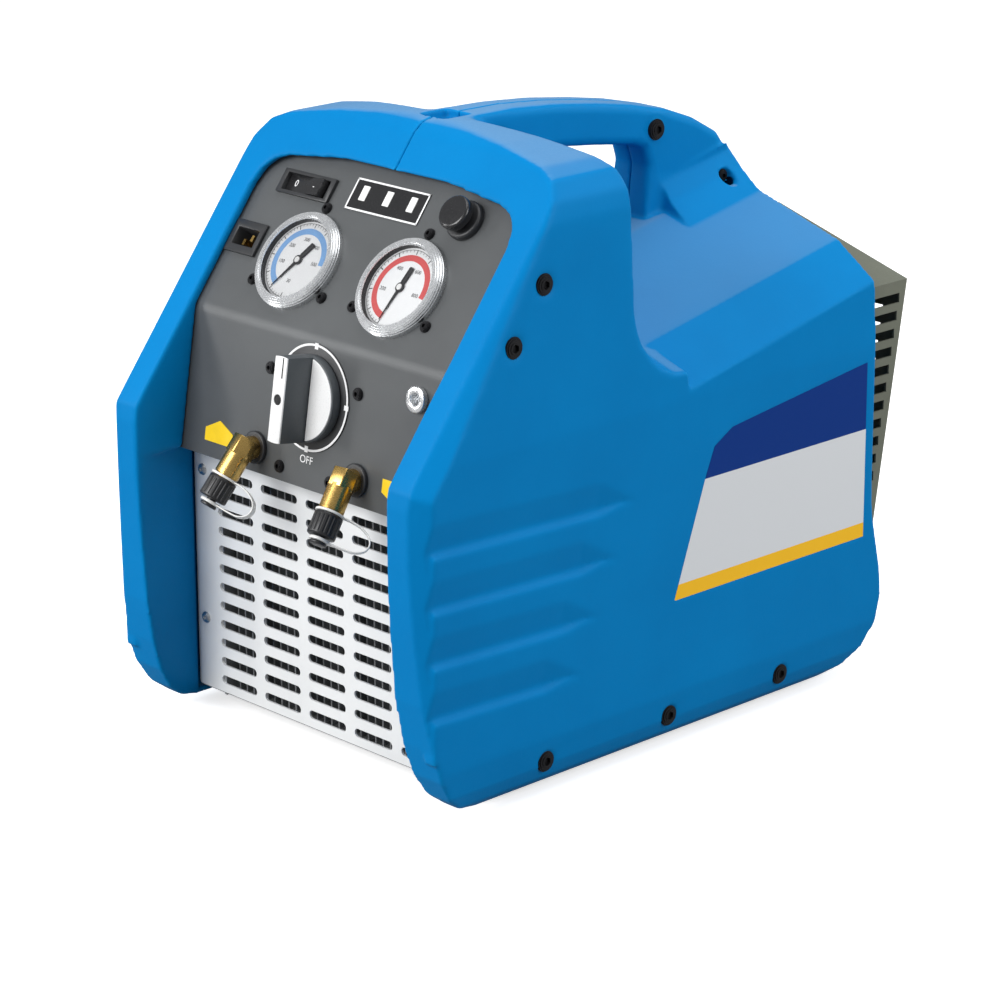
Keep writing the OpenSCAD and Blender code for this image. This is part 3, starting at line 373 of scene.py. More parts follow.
def shellFinish():
    # moulded blue plastic: leathery grain, a painted highlight that makes the sharp edges a little paler, and
    # a painted sheen that makes level faces a little paler and greyer
    look = {"colour": (0.0, 0.192, 0.485), "deep": (0.0, 0.172, 0.445),
            "edge": (0.004, 0.30, 0.66), "topSheen": (0.33, 0.44, 0.52)}
    mat, tree, shader = newFinish("blueCase")
    base = ramp(tree, objectNoise(tree, 14, 5.0), [(0.3, look["deep"]), (0.7, look["colour"])])
    geometry = tree.nodes.new("ShaderNodeNewGeometry")
    # painted highlight: sharp edges, found by pointiness, are mixed towards a paler blue
    edge = spread(tree, geometry.outputs["Pointiness"], 0.0, 0.55, 0.52, 0.60)
    edgeHighlight = mixed(tree, edge, base, look["edge"])
    normal = tree.nodes.new("ShaderNodeSeparateXYZ")
    tree.links.new(geometry.outputs["Normal"], normal.inputs["Vector"])
    # painted sheen: faces that look up are mixed towards a pale grey-blue, standing in for the reflection of
    # the bright room
    level = spread(tree, normal.outputs["Z"], 0.0, 0.30, 0.88, 1.0)
    tree.links.new(mixed(tree, level, edgeHighlight, look["topSheen"]), shader.inputs["Base Color"])
    grain = objectNoise(tree, 620, 3.0, 0.65)
    shader.inputs["Specular IOR Level"].default_value = 0.06
    tree.links.new(spread(tree, grain, 0.38, 0.52), shader.inputs["Roughness"])
    bumpFrom(tree, shader, grain, 0.35, 0.18)
    return mat


def decalFinish():
    # printed film in three plain colours, split by height in metres
    look = {"foot": 0.085, "low": 0.0935, "mid": 0.1480, "head": 0.190,
            "yellow": (0.86, 0.48, 0.02), "white": (0.64, 0.66, 0.68), "navy": (0.0, 0.030, 0.20)}
    mat, tree, shader = newFinish("decalFilm")
    coords = tree.nodes.new("ShaderNodeTexCoord")
    split = tree.nodes.new("ShaderNodeSeparateXYZ")
    tree.links.new(coords.outputs["Object"], split.inputs["Vector"])
    height = spread(tree, split.outputs["Z"], 0.0, 1.0, look["foot"], look["head"])
    low, mid = ((look[key] - look["foot"]) / (look["head"] - look["foot"]) for key in ("low", "mid"))
    stops = [(0.0, look["yellow"]), (low, look["white"]), (mid, look["navy"])]
    tree.links.new(ramp(tree, height, stops, smooth=False), shader.inputs["Base Color"])
    fine = objectNoise(tree, 300, 2.0)
    shader.inputs["Specular IOR Level"].default_value = 0.15
    tree.links.new(spread(tree, fine, 0.30, 0.42), shader.inputs["Roughness"])
    bumpFrom(tree, shader, fine, 0.05, 0.02)
    return mat


def glassFinish():
    # thin clear window: shows its gloss more at a glancing angle
    mat, tree, shader = newFinish("gaugeGlass")
    shader.inputs["Base Color"].default_value = (0.02, 0.02, 0.022, 1.0)
    shader.inputs["Roughness"].default_value = 0.06
    facing = tree.nodes.new("ShaderNodeLayerWeight")
    facing.inputs["Blend"].default_value = 0.25
    tree.links.new(spread(tree, facing.outputs["Fresnel"], 0.02, 0.3, 0.0, 1.0), shader.inputs["Alpha"])
    return mat


finish = {
    "blue": shellFinish(),
    "panel": simpleFinish("panelPaint", (0.080, 0.085, 0.088), 0.40, 0.15, 0.10, 18, 1100, 0.18, 0.06),
    "grille": simpleFinish("grillePaint", (0.80, 0.81, 0.81), 0.36, 0.10, 0.04, 22, 1000, 0.08, 0.04),
    "cowl": simpleFinish("cowlPaint", (0.165, 0.175, 0.135), 0.44, 0.25, 0.10, 20, 900, 0.15, 0.06),
    "steel": simpleFinish("zincSteel", (0.62, 0.63, 0.64), 0.30, 1.0, 0.06, 60, 700, 0.06, 0.03, (1, 1, 6)),
    "plate": simpleFinish("plateSteel", (0.36, 0.37, 0.38), 0.45, 0.5, 0.08, 20, 500, 0.1, 0.05),
    "blackScrew": simpleFinish("blackScrew", (0.018, 0.018, 0.02), 0.32, 0.6, 0.2, 200, 900, 0.1, 0.03),
    "rubber": simpleFinish("footRubber", (0.022, 0.022, 0.023), 0.72, 0.0, 0.2, 60, 800, 0.25, 0.1),
    "black": simpleFinish("caseBlack", (0.022, 0.023, 0.025), 0.42, 0.0, 0.15, 60, 1200, 0.2, 0.06),
    "glossBlack": simpleFinish("keyBlack", (0.014, 0.014, 0.015), 0.22, 0.0, 0.15, 80, 1200, 0.08, 0.03),
    "chrome": simpleFinish("bezelChrome", (0.84, 0.85, 0.86), 0.27, 1.0, 0.02, 60, 300, 0.0, roughVary=0.02),
    "dial": simpleFinish("dialWhite", (0.82, 0.83, 0.84), 0.40, 0.0, 0.02, 60, 900, 0.04, 0.02),
    "blueInk": simpleFinish("dialBlue", (0.20, 0.40, 0.72), 0.42, 0.0, 0.05, 200, 900, 0.04, 0.02),
    "redInk": simpleFinish("dialRed", (0.62, 0.09, 0.09), 0.42, 0.0, 0.05, 200, 900, 0.04, 0.02),
    "blackInk": simpleFinish("inkBlack", (0.02, 0.02, 0.022), 0.45, 0.0, 0.1, 200, 900, 0.04, 0.02),
    "whiteInk": simpleFinish("inkWhite", (0.82, 0.82, 0.82), 0.45, 0.0, 0.03, 200, 900, 0.04, 0.02),
    "glass": glassFinish(),
    "white": simpleFinish("knobWhite", (0.80, 0.80, 0.795), 0.30, 0.0, 0.02, 40, 1200, 0.06, 0.03, coat=0.15),
    "gripGrey": simpleFinish("gripGrey", (0.058, 0.066, 0.072), 0.48, 0.0, 0.10, 50, 1200, 0.2, 0.06),
    "shaft": simpleFinish("shaftSteel", (0.55, 0.56, 0.57), 0.28, 1.0, 0.05, 60, 600, 0.05, 0.03, (8, 1, 8)),
    "alloy": simpleFinish("castAlloy", (0.42, 0.43, 0.44), 0.48, 0.85, 0.08, 40, 700, 0.25, 0.1),
    "brass": simpleFinish("portBrass", (0.58, 0.38, 0.12), 0.28, 1.0, 0.10, 90, 900, 0.08, 0.03, (1, 1, 7)),
    "capBlack": simpleFinish("capBlack", (0.012, 0.012, 0.013), 0.36, 0.0, 0.15, 120, 1200, 0.15, 0.05),
    "lamp": simpleFinish("lampWhite", (0.86, 0.86, 0.84), 0.25, 0.0, 0.02, 90, 900, 0.03, 0.02),
    "strap": simpleFinish("strapMilky", (0.72, 0.72, 0.70), 0.28, 0.0, 0.04, 90, 700, 0.05, 0.03),
    "yellow": simpleFinish("arrowYellow", (0.83, 0.56, 0.01), 0.38, 0.0, 0.05, 120, 900, 0.05, 0.02),
    "motor": simpleFinish("motorGrey", (0.07, 0.075, 0.085), 0.5, 0.2, 0.1, 40, 700, 0.15, 0.06),
    "copper": simpleFinish("pipeCopper", (0.58, 0.25, 0.12), 0.32, 1.0, 0.12, 60, 700, 0.06, 0.03),
    "canWhite": simpleFinish("canWhite", (0.72, 0.72, 0.70), 0.45, 0.0, 0.04, 40, 800, 0.08, 0.04),
    "board": simpleFinish("boardGreen", (0.02, 0.12, 0.045), 0.45, 0.0, 0.15, 120, 800, 0.1, 0.05),
    "decal": decalFinish(),
}
slotFinish = {
    "blue_shell": "blue", "black_screw": "blackScrew", "panel_paint": "panel", "grille_paint": "grille",
    "zinc_screw": "steel", "cowl_paint": "cowl", "plate_steel": "plate", "foot_rubber": "rubber",
    "decal_film": "decal", "case_black": "black", "bezel_chrome": "chrome", "dial_blue": "dial",
    "dial_red": "dial", "lens_glass": "glass", "needle_black": "blackInk", "knob_white": "white",
    "knob_grey": "gripGrey", "shaft_steel": "shaft", "cast_alloy": "alloy", "key_black": "glossBlack",
    "pin_brass": "brass", "window_black": "glossBlack", "lamp_white": "lamp", "cap_black": "black",
    "strap_clear": "strap", "arrow_yellow": "yellow", "motor_grey": "motor", "pipe_copper": "copper",
    "capacitor_white": "canWhite", "board_green": "board",
}
for part in frame["record"]["subparts"]:
    node = nodes[part["node"]]
    paint = finish[slotFinish[part["material_slot"]]]
    if not node.material_slots:
        node.data.materials.append(paint)
    for slot in node.material_slots:
        slot.material = paint
print("stage: finishes set")

# camera at the photograph's angle
view = {"az": 45.71, "el": 16.23, "far": 1.93783, "lens": 126.45, "sensor": 36,
        "shiftX": -0.03386, "shiftY": -0.11473, "aim": (0, 0, 0.175)}
az, el = rad(view["az"]), rad(view["el"])
back = Vector((math.sin(az) * math.cos(el), -math.cos(az) * math.cos(el), math.sin(el)))
camData = bpy.data.cameras.new("mainCamera")
camData.lens = view["lens"]
camData.sensor_width = view["sensor"]
camData.sensor_fit = "HORIZONTAL"
camData.shift_x = view["shiftX"]
camData.shift_y = view["shiftY"]
camera = bpy.data.objects.new("mainCamera", camData)
scene.collection.objects.link(camera)
camera.location = Vector(view["aim"]) + back * view["far"]
camera.rotation_euler = (-back).to_track_quat("-Z", "Y").to_euler()
scene.camera = camera


# copies of nodes, to be worked on
def cadCopy(nodeName, pieceName):
    source = nodes[nodeName]
    obj = source.copy()
    obj.data = source.data.copy()
    obj.parent = None
    obj.matrix_world = Matrix.Identity(4)
    scene.collection.objects.link(obj)
    obj.name = pieceName
    editAll(obj)
    bpy.ops.mesh.remove_doubles(threshold=1e-5)
    bpy.ops.mesh.dissolve_limited(angle_limit=rad(1))
    leaveEdit()
    return obj


# half shells: ledges and hollow worked into the solids, then a fine skin over them
skin = {"voxel": 1.15, "passes": 6, "crown": 45, "lip": 14, "keep": 0.2, "seamKeep": 1.0, "seamFade": 5.0,
        "rimBreak": 1.5, "gripBreak": 5}
ledge = {"half": 125, "count": 4, "first": 148, "pitch": 29.2, "tilt": -2, "front": -20, "end": 152,
         "shorter": 13, "taper": 26, "depth": 2.9, "rise": 15, "fall": 3.3, "past": 3}
ledgeFill = {"x": (-8, -0.02), "front": 9.3, "over": 1, "z": (-25, 2.6)}
ledgeBack = {"x": (-9, -3.1), "front": 13, "over": 0, "z": (1, 19)}
hollow = {"y": 135, "half": 9.5, "floor": 326.5, "above": 345, "fillHalf": 11, "seam": 0.2, "noseHalf": 17}


def measured(co):
    # millimetres from the seam, behind the front rim and above the shell bottom
    return abs(co.x) / mm, co.y / mm + machine["length"] / 2, co.z / mm - machine["foot"]


def faded(*parts):
    # product of weights, each held between none and full
    weight = 1.0
    for part in parts:
        weight *= min(1.0, max(0.0, part))
    return weight


def seamSoftness(co):
    # the two faces of the seam stay flat
    return faded((abs(co.x) / mm - skin["seamKeep"]) / skin["seamFade"])


def crownSoftness(co):
    # hood corners well outside the opening
    x, y, z = measured(co)
    away = max(x - 99.5, z - 308) / 14 - 0.5
    mark = (max(x, abs(y - hollow["y"])) - hollow["half"] - 1) / 4
    return faded(seamSoftness(co), away, (z - 190) / 50, (200 - y) / 30, mark)


def lipSoftness(co):
    # the arch over the panel
    x, y, z = measured(co)
    return faded(seamSoftness(co), (108 - x) / 4, (z - 215) / 20, (318 - z) / 4, (128 - y) / 5)


def smoothWhere(obj, weigh, passes):
    group = obj.vertex_groups.new(name="soft")
    for v in obj.data.vertices:
        group.add([v.index], weigh(v.co), "REPLACE")
    modify(obj, "SMOOTH", factor=0.5, iterations=passes, vertex_group="soft")
    obj.vertex_groups.clear()


def rimEdge(x, y, z):
    return 1 < x < 107 and y < 122 and 110 < z < 316


def gripEdge(x, y, z):
    return 12 < x < 16 and y > 165 and z > 250


def breakEdges(obj, width, segments, test):
    # bevel on the sharp edges whose ends both pass the test
    editAll(obj)
    bpy.ops.mesh.select_mode(type="EDGE")
    bpy.ops.mesh.select_all(action="DESELECT")
    data = bmesh.from_edit_mesh(obj.data)
    for e in data.edges:
        sharp = len(e.link_faces) == 2 and e.calc_face_angle(0.0) > rad(40)
        e.select_set(sharp and all(test(*measured(v.co)) for v in e.verts))
    bmesh.update_edit_mesh(obj.data)
    bpy.ops.mesh.bevel(offset=width * mm, segments=segments, clamp_overlap=False)
    leaveEdit()


def lofted(name, rings, matrix):
    # sections joined one after another
    count = len(rings[0])
    points = [p for ring in rings for p in ring]
    faces = [list(range(count)), list(range(len(points) - count, len(points)))]
    for r in range(len(rings) - 1):
        for k in range(count):
            low, high = r * count + k, r * count + (k + 1) % count
            faces.append([low, high, high + count, low + count])
    obj = meshObject(name, points, [], faces)
    obj.data.transform(matrix)
    editAll(obj)
    bpy.ops.mesh.normals_make_consistent(inside=False)
    leaveEdit()
    return obj


def slab(name, xs, ys, zs, matrix):
    section = [(xs[0], zs[0]), (xs[1], zs[0]), (xs[1], zs[1]), (xs[0], zs[1])]
    return lofted(name, [[(x, y, z) for x, z in section] for y in ys], matrix)


def ledgeLevel(side, i):
    level = Matrix.Translation(place(0, 0, ledge["first"] - ledge["pitch"] * i))
    tilt = Matrix.Rotation(rad(ledge["tilt"]), 4, "X")
    return Matrix.Scale(side, 4, (1, 0, 0)) @ level @ tilt


def sideLedges(obj, side):
    # ledges that face up, each at the foot of a shallow slope that runs out to a point
    w, d, past = ledge["half"], ledge["depth"], ledge["past"]
    out = (d + past) / d
    ends = [ledge["end"] - ledge["shorter"] * i for i in range(ledge["count"])]
    for i, end in enumerate(ends):
        for look in (ledgeFill, ledgeBack):
            xs = [w + x for x in look["x"]]
            ys = (look["front"], end + look["over"])
            cutWith(obj, slab("ledgeFill", xs, ys, look["z"], ledgeLevel(side, i)), "UNION")
    for i, end in enumerate(ends):
        section = [(w - d, 0), (w + past, -ledge["fall"] * out), (w + past, ledge["rise"] * out)]
        tip = [(w - 0.1, 0), (w + past, -0.6), (w + past, 0.6)]
        rings = [[(x, y, z) for x, z in section] for y in (ledge["front"], end - ledge["taper"])]
        rings.append([(x, end + 2, z) for x, z in tip])
        cutWith(obj, lofted("slopeCut", rings, ledgeLevel(side, i)))


def topHollow(obj, side):
    # square hollow on the seam, with the front end of the handle trimmed back to the hood
    home = Matrix.Translation(place(0, 0, 0))
    infill = [(117, 329), (119, 330.7), (126, 332.3), (153, 332.3), (153, 321), (117, 321)]
    nose = [(132, 333.9), (119, 331.02), (112.3, 326.02), (100, 309.7), (80, 309.7),
            (80, hollow["above"]), (132, hollow["above"])]
    fillSides = sorted((hollow["seam"] * side, hollow["fillHalf"] * side))
    noseSides = (-hollow["noseHalf"], hollow["noseHalf"])
    for outline, sides, how in ((infill, fillSides, "UNION"), (nose, noseSides, "DIFFERENCE")):
        cutWith(obj, lofted("hoodTop", [[(x, y, z) for y, z in outline] for x in sides], home), how)
    h, y = hollow["half"], hollow["y"]
    cutWith(obj, slab("hollowCut", (-h, h), (y - h, y + h), (hollow["floor"], hollow["above"]), home))


def mouldedShell(nodeName, pieceName, side):
    obj = cadCopy(nodeName, pieceName)
    editAll(obj)
    bpy.ops.mesh.quads_convert_to_tris()  # the cuts stay closed on plain triangles
    leaveEdit()
    sideLedges(obj, side)
    topHollow(obj, side)
    editAll(obj)
    bpy.ops.mesh.dissolve_limited(angle_limit=rad(1))
    leaveEdit()
    breakEdges(obj, skin["rimBreak"], 2, rimEdge)
    breakEdges(obj, skin["gripBreak"], 3, gripEdge)
    modify(obj, "REMESH", mode="VOXEL", voxel_size=skin["voxel"] * mm, use_smooth_shade=True)
    smoothWhere(obj, seamSoftness, skin["passes"])
    smoothWhere(obj, crownSoftness, skin["crown"])
    smoothWhere(obj, lipSoftness, skin["lip"])
    modify(obj, "DECIMATE", decimate_type="COLLAPSE", ratio=skin["keep"])
    wear(obj, finish["blue"])
    pick(obj)
    bpy.ops.object.shade_smooth()
    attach(obj, "frame")
    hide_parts(nodeName)
    print("stage:", pieceName, len(obj.data.polygons), "faces")


mouldedShell("left_shell", "leftCaseSkin", -1)
mouldedShell("right_shell", "rightCaseSkin", 1)


# the node itself with its edges rounded
def softened(nodeName, pieceName, body, width, segments=2):
    obj = cadCopy(nodeName, pieceName)
    roundEdges(obj, width, segments, 30)
    settle(obj, body, [nodeName])


def islands(nodeName):
    # corner points of each separate solid of a node
    data = bmesh.new()
    data.from_mesh(nodes[nodeName].data)
    bmesh.ops.remove_doubles(data, verts=data.verts, dist=1e-6)
    left = set(data.verts)
    groups = []
    while left:
        edge = [left.pop()]
        found = list(edge)
        while edge:
            v = edge.pop()
            for e in v.link_edges:
                other = e.other_vert(v)
                if other in left:
                    left.remove(other)
                    edge.append(other)
                    found.append(other)
        groups.append([v.co.copy() for v in found])
    data.free()
    return groups


# screws: domed heads with a six sided socket, each as radius and rise
screw = {"gauge": (3.2, 2.2), "panel": (3.4, 2.2), "grille": (3.2, 2.0), "case": (6.0, 2.8),
         "deep": (4.0, 2.4)}


def screwHead(radius, rise):
    head = addRound("screwPattern", radius, 0, rise * 0.36, 40)
    dome = [(0.09, 0.26), (0.16, 0.2), (0.22, 0.13), (0.2, 0.05)]
    workTop(head, [(radius * inset, rise * lift) for inset, lift in dome])
    cutWith(head, addRound("socket", radius * 0.4, rise * 0.35, rise * 2, 6))
    return head


def flush(mid):
    return 0.0


def nowhere(mid):
    return False


def screwSet(nodeName, finishName, size, normalOf, liftOf=flush, deepAt=nowhere):
    # a head over each solid of the node
    rise = screw[size][1]
    patterns = {True: screwHead(*screw["deep"]), False: screwHead(*screw[size])}
    heads = []
    for points in islands(nodeName):
        mid = Vector([(min(p[i] for p in points) + max(p[i] for p in points)) / 2 for i in range(3)])
        out = normalOf(mid)
        top = max(p.dot(out) for p in points)
        side = Vector((0, 0, 1)).cross(out).normalized()
        crest = [p for p in points if p.dot(out) > top - 0.4 * rise * mm]
        core = sum(crest, Vector()) / len(crest)
        deep = deepAt(mid)
        sink = screw["deep"][1] if deep else rise - liftOf(mid)
        core += out * (top - sink * mm - core.dot(out))
        heads.append(copyOf(patterns[deep], frameOf(core, side, out.cross(side), out)))
    for pattern in patterns.values():
        bpy.data.objects.remove(pattern, do_unlink=True)
    obj = joined(nodeName.title().replace("_", ""), heads)
    wear(obj, finish[finishName])
    settle(obj, "frame", [nodeName], angle=40)


def slopeOut(mid):
    return Vector((0, -leanCos, leanSin))


def lowOut(mid):
    return Vector((0, -lowCos, lowSin))


def forward(mid):
    return Vector((0, -1, 0))


def sideways(mid):
    return Vector((1 if mid.x > 0 else -1, 0, 0))


def caseLift(mid):
    # heads stand out further on the handle than on the sides
    return 3.2 if abs(mid.x) < 0.03 else 1.4


def rearFoot(mid):
    # the screw at the rear foot of the handle lies in a deep pocket
    return mid.y > 0.12 and mid.z > 0.25


screwSet("gauge_screws", "blackScrew", "gauge", slopeOut)
screwSet("plate_screws", "blackScrew", "panel", lowOut)
screwSet("boss_screws", "blackScrew", "panel", lowOut)
screwSet("grille_screws", "steel", "grille", forward)
screwSet("shell_screws", "blackScrew", "case", sideways, caseLift, rearFoot)
print("stage: screws")

# gauges: rolled chrome ring, black inner wall that paints the shade inside the recess, printed dial, clear
# window
gauge = {"x": 40, "s": 38, "ring": 28, "mouth": 22.9, "slack": 0.1, "face": 1.8, "glass": 4.7, "pane": 0.3,
         "band": (15.3, 18.8), "line": (21.55, 21.8), "tick": 21.7, "print": 0.06, "ink": 0.03,
         "numberAt": 12.2, "numberSize": 3.0}
gaugeRoll = [(0.3, 1.2), (0.6, 1.1), (0.9, 0.7), (1.1, 0.3), (0.7, -0.1), (0.4, -0.4), (0.3, 0.25), (0.5, 0),
             (0.3, -0.5), (0, -3.4)]
needleHalf = [(19.6, 0.12), (1.6, 0.75), (-2.2, 1.0), (-3.4, 1.45), (-11.4, 1.5), (-12, 1.0)]


def tickMark(name, angle, inner, outer, width, z):
    w = width / 2
    mark = flatShape(name, [(inner, -w), (outer, -w), (outer, w), (inner, w)], z)
    mark.data.transform(Matrix.Rotation(rad(angle), 4, "Z"))
    return mark


def gaugeCase(side, look, seat):
    ring = addRound(side + "Ring", gauge["ring"], 0, 2.6, 128)
    workTop(ring, gaugeRoll)
    wear(ring, finish["chrome"])
    settle(ring, "frame", [look["node"] + "_bezel"], seat, 50)
    # painted shade: a black wall inside the ring stands for the shade in the recess over the dial
    shadeWall = addRound(side + "ShadeWall", gauge["mouth"] - 0.06, 1.6, 5.0, 128)
    pickFaces(shadeWall, lambda f: abs(f.normal.z) > 0.9)
    bpy.ops.mesh.delete(type="FACE")
    leaveEdit()
    wear(shadeWall, finish["black"])
    settle(shadeWall, "frame", (), seat)
    dial = addRound(side + "Dial", gauge["mouth"] - gauge["slack"], 1.2, gauge["face"], 128)
    wear(dial, finish["dial"])
    settle(dial, "frame", [look["node"] + "_dial"], seat)


def gaugePrints(side, look, seat):
    z = gauge["face"] + gauge["print"]
    band = flatBand(side + "Band", *gauge["band"], look["band"], look["end"], z)
    wear(band, finish[look["ink"]])
    settle(band, "frame", (), seat)
    z += gauge["ink"]
    marks = [flatBand(side + "Line", *gauge["line"], look["start"], look["end"], z)]
    for i in range(look["ticks"] + 1):
        angle = look["start"] + (look["end"] - look["start"]) * i / look["ticks"]
        inner, width = (19.2, 0.5) if i % look["every"] == 0 else (20.3, 0.26)
        marks.append(tickMark(side + "Tick", angle, inner, gauge["tick"], width, z))
    for angle, words in look["numbers"]:
        x, y = gauge["numberAt"] * math.cos(rad(angle)), gauge["numberAt"] * math.sin(rad(angle))
        marks.append(flatText(side + "Number", words, gauge["numberSize"], x, y, z))
    prints = joined(side + "Prints", marks)
    wear(prints, finish["blackInk"])
    settle(prints, "frame", (), seat)


def gaugeNeedle(side, look, seat):
    tip, tail = needleHalf[0], needleHalf[1:]
    outline = [(tip[0], -tip[1]), tip] + tail + [(x, -y) for x, y in reversed(tail)]
    hand = flatShape(side + "Needle", outline, 2.4)
    modify(hand, "SOLIDIFY", thickness=0.5 * mm, offset=1.0)
    boss = addRound(side + "Boss", 2.7, 2.3, 3.0, 32)
    needle = joined(side + "Needle", [hand, boss])
    wear(needle, finish["blackInk"])
    turn = Matrix.Rotation(rad(look["rest"]), 4, "Z")
    settle(needle, look["body"], [look["node"] + "_needle"], seat @ turn)
    hub = addRound(side + "Hub", 1.75, 2.9, 3.5, 32)
    roundEdges(hub, 0.3)
    wear(hub, finish["white"])
    settle(hub, look["body"], (), seat)


def gaugeFace(side, x, look):
    seat = onSlope(x, gauge["s"])
    gaugeCase(side, look, seat)
    gaugePrints(side, look, seat)
    gaugeNeedle(side, look, seat)
    top = gauge["glass"]
    glass = addRound(side + "Glass", gauge["mouth"] - gauge["slack"], top - gauge["pane"], top, 128)
    wear(glass, finish["glass"])
    settle(glass, "frame", [look["node"] + "_lens"], seat)


lowGauge = {"node": "low_gauge", "body": "low_needle", "slot": "dial_blue", "ink": "blueInk",
            "start": 270, "end": 0, "band": 240, "rest": 240, "ticks": 45, "every": 5,
            "numbers": [(270, "30"), (240, "0")] + [(240 - 48 * i, str(100 * i)) for i in range(1, 6)]}
highGauge = {"node": "high_gauge", "body": "high_needle", "slot": "dial_red", "ink": "redInk",
             "start": 260, "end": -10, "band": 260, "rest": 260, "ticks": 40, "every": 5,
             "numbers": [(260 - 33.75 * i, str(100 * i)) for i in range(0, 9, 2)]}
gaugeFace("low", -gauge["x"], lowGauge)
gaugeFace("high", gauge["x"], highGauge)
print("stage: gauges")

# selector: thin black plate with a printed ring, dark knob with white facings
knob = {"radius": 23, "barHalf": 4.6, "tip": 23.4, "skirt": 6.6}
plate = addRound("dialPlate", 28.5, 0, 0.8, 96)
roundEdges(plate, 0.25, 2)
wear(plate, finish["black"])
settle(plate, "frame", ["selector_plate"], dialSeat)
rings = [flatBand("dialRing", 27.1, 28.3, -90, 270, 0.86, 120)]
for angle in (0, 90, 180, 270):
    rings.append(tickMark("dialMark", angle, 25.6, 28.9, 2.6, 0.88))
rings.append(flatText("offMark", "OFF", 5.9, 0, -33.2, 0.05))
ringPrint = joined("dialPrint", rings)
wear(ringPrint, finish["whiteInk"])
settle(ringPrint, "frame", (), dialSeat)
skirt = addRound("knobSkirt", knob["radius"], 1.2, knob["skirt"], 96)
roundEdges(skirt, 0.5, 3)
bar = addBlock("knobBar", (-knob["barHalf"], -30, 5.5), (knob["barHalf"], 30, knob["tip"]))
cutWith(bar, addRound("barTrim", knob["radius"] - 0.1, 0, 40, 96), "INTERSECT")
roundEdges(bar, 0.6, 3)
knobBody = joined("knobBody", [skirt, bar])
wear(knobBody, finish["gripGrey"])
settle(knobBody, "selector", ["selector_knob"], dialSeat)
stripHalf = knob["barHalf"] - 0.1
strip = addBlock("knobStrip", (-stripHalf, -30, knob["tip"] - 0.2), (stripHalf, 30, knob["tip"] + 0.8))
cutWith(strip, addRound("stripTrim", knob["radius"] - 0.3, 0, 40, 96), "INTERSECT")
cutWith(strip, addRound("stripDot", 2.9, knob["tip"] - 2, knob["tip"] + 3, 48))
roundEdges(strip, 0.3, 2)
facing = addRound("knobFacing", knob["radius"] - 0.8, knob["skirt"] - 0.2, knob["skirt"] + 0.7, 96)
gapHalf = knob["barHalf"] + 0.35
cutWith(facing, addBlock("facingGap", (-gapHalf, -40, 0), (gapHalf, 40, 40)))
roundEdges(facing, 0.35, 3)
knobWhite = joined("knobFacings", [strip, facing])
wear(knobWhite, finish["white"])
settle(knobWhite, "selector", ["selector_grip"], dialSeat)
dot = addRound("knobDot", 2.85, knob["tip"] - 0.5, knob["tip"] + 0.35, 48)
pointer = addBlock("knobPointer", (1.3, 11.5, knob["tip"] + 0.5), (2.2, 22.3, knob["tip"] + 0.88))
knobMarks = joined("knobMarks", [dot, pointer])
wear(knobMarks, finish["glossBlack"])
settle(knobMarks, "selector", (), dialSeat)
print("stage: selector")

# ports: brass elbows, ribbed caps, milky straps
port = {"x": 40, "z": 160.5, "reach": 9.5, "drop": 61, "turn": 13, "flutes": 20, "fluteAt": 8.05,
        "strapWide": 1.7, "strapThick": 0.4, "strapTurn": 60}


def portBody(prefix, seat, foot):
    stem = addRound(prefix + "Stem", 6.2, -6, port["reach"], 48)
    stem.data.transform(foot)
    block = addRound(prefix + "Block", 7.7, -5.6, 4.6, 6)
    roundEdges(block, 0.5, 2)
    body = addRound(prefix + "Body", 6.8, 3, 16.4, 48)
    workTop(body, [(0.5, 0.6), (1.4, 0), (0, 8.6), (1.3, 1.8)])
    for p in (block, body):
        p.data.transform(seat)
    brass = joined(prefix + "Brass", [stem, block, body])
    wear(brass, finish["brass"])
    settle(brass, "frame", [prefix + "_port"])
    collar = addRound(prefix + "Collar", 8.8, 0, 2.5, 48)
    roundEdges(collar, 0.8, 3)
    wear(collar, finish["black"])
    settle(collar, "frame", [prefix + "_boss"], foot)


def portCap(prefix, seat):
    cap = addRound(prefix + "Cap", 7.7, 18.9, 31.2, 60)
    roundEdges(cap, 0.9, 3)
    flutes = []
    for i in range(port["flutes"]):
        flute = addRound("flute", 0.75, 20.6, 30.0, 10)
        turn = Matrix.Rotation(rad(360 / port["flutes"] * i), 4, "Z")
        flute.data.transform(turn @ Matrix.Translation((port["fluteAt"] * mm, 0, 0)))
        flutes.append(flute)
    cutWith(cap, joined("flutes", flutes))
    neck = addRound(prefix + "Neck", 2.6, 30.6, 34.4, 32)
    knop = addRound(prefix + "Knop", 4.6, 34.0, 35.6, 40)
    roundEdges(knop, 0.5, 3)
    capPiece = joined(prefix + "Cap", [cap, neck, knop])
    wear(capPiece, finish["capBlack"])
    settle(capPiece, prefix + "_cap", [prefix + "_cap"], seat, 40)


def portStrap(prefix, seat):
    ringLow = addRound(prefix + "RingLow", 7.9, 17.4, 18.7, 60)
    roundEdges(ringLow, 0.35, 2)
    cutWith(ringLow, addRound("hole", 6.0, 10, 30, 48))
    ringHigh = addRound(prefix + "RingHigh", 5.6, 32.2, 33.8, 48)
    roundEdges(ringHigh, 0.35, 2)
    cutWith(ringHigh, addRound("hole", 2.8, 20, 40, 32))
    ribbon = strapRibbon(prefix + "Ribbon")
    strap = joined(prefix + "Strap", [ringLow, ringHigh, ribbon])
    wear(strap, finish["strap"])
    settle(strap, prefix + "_lift", [prefix + "_strap"], seat, 40)


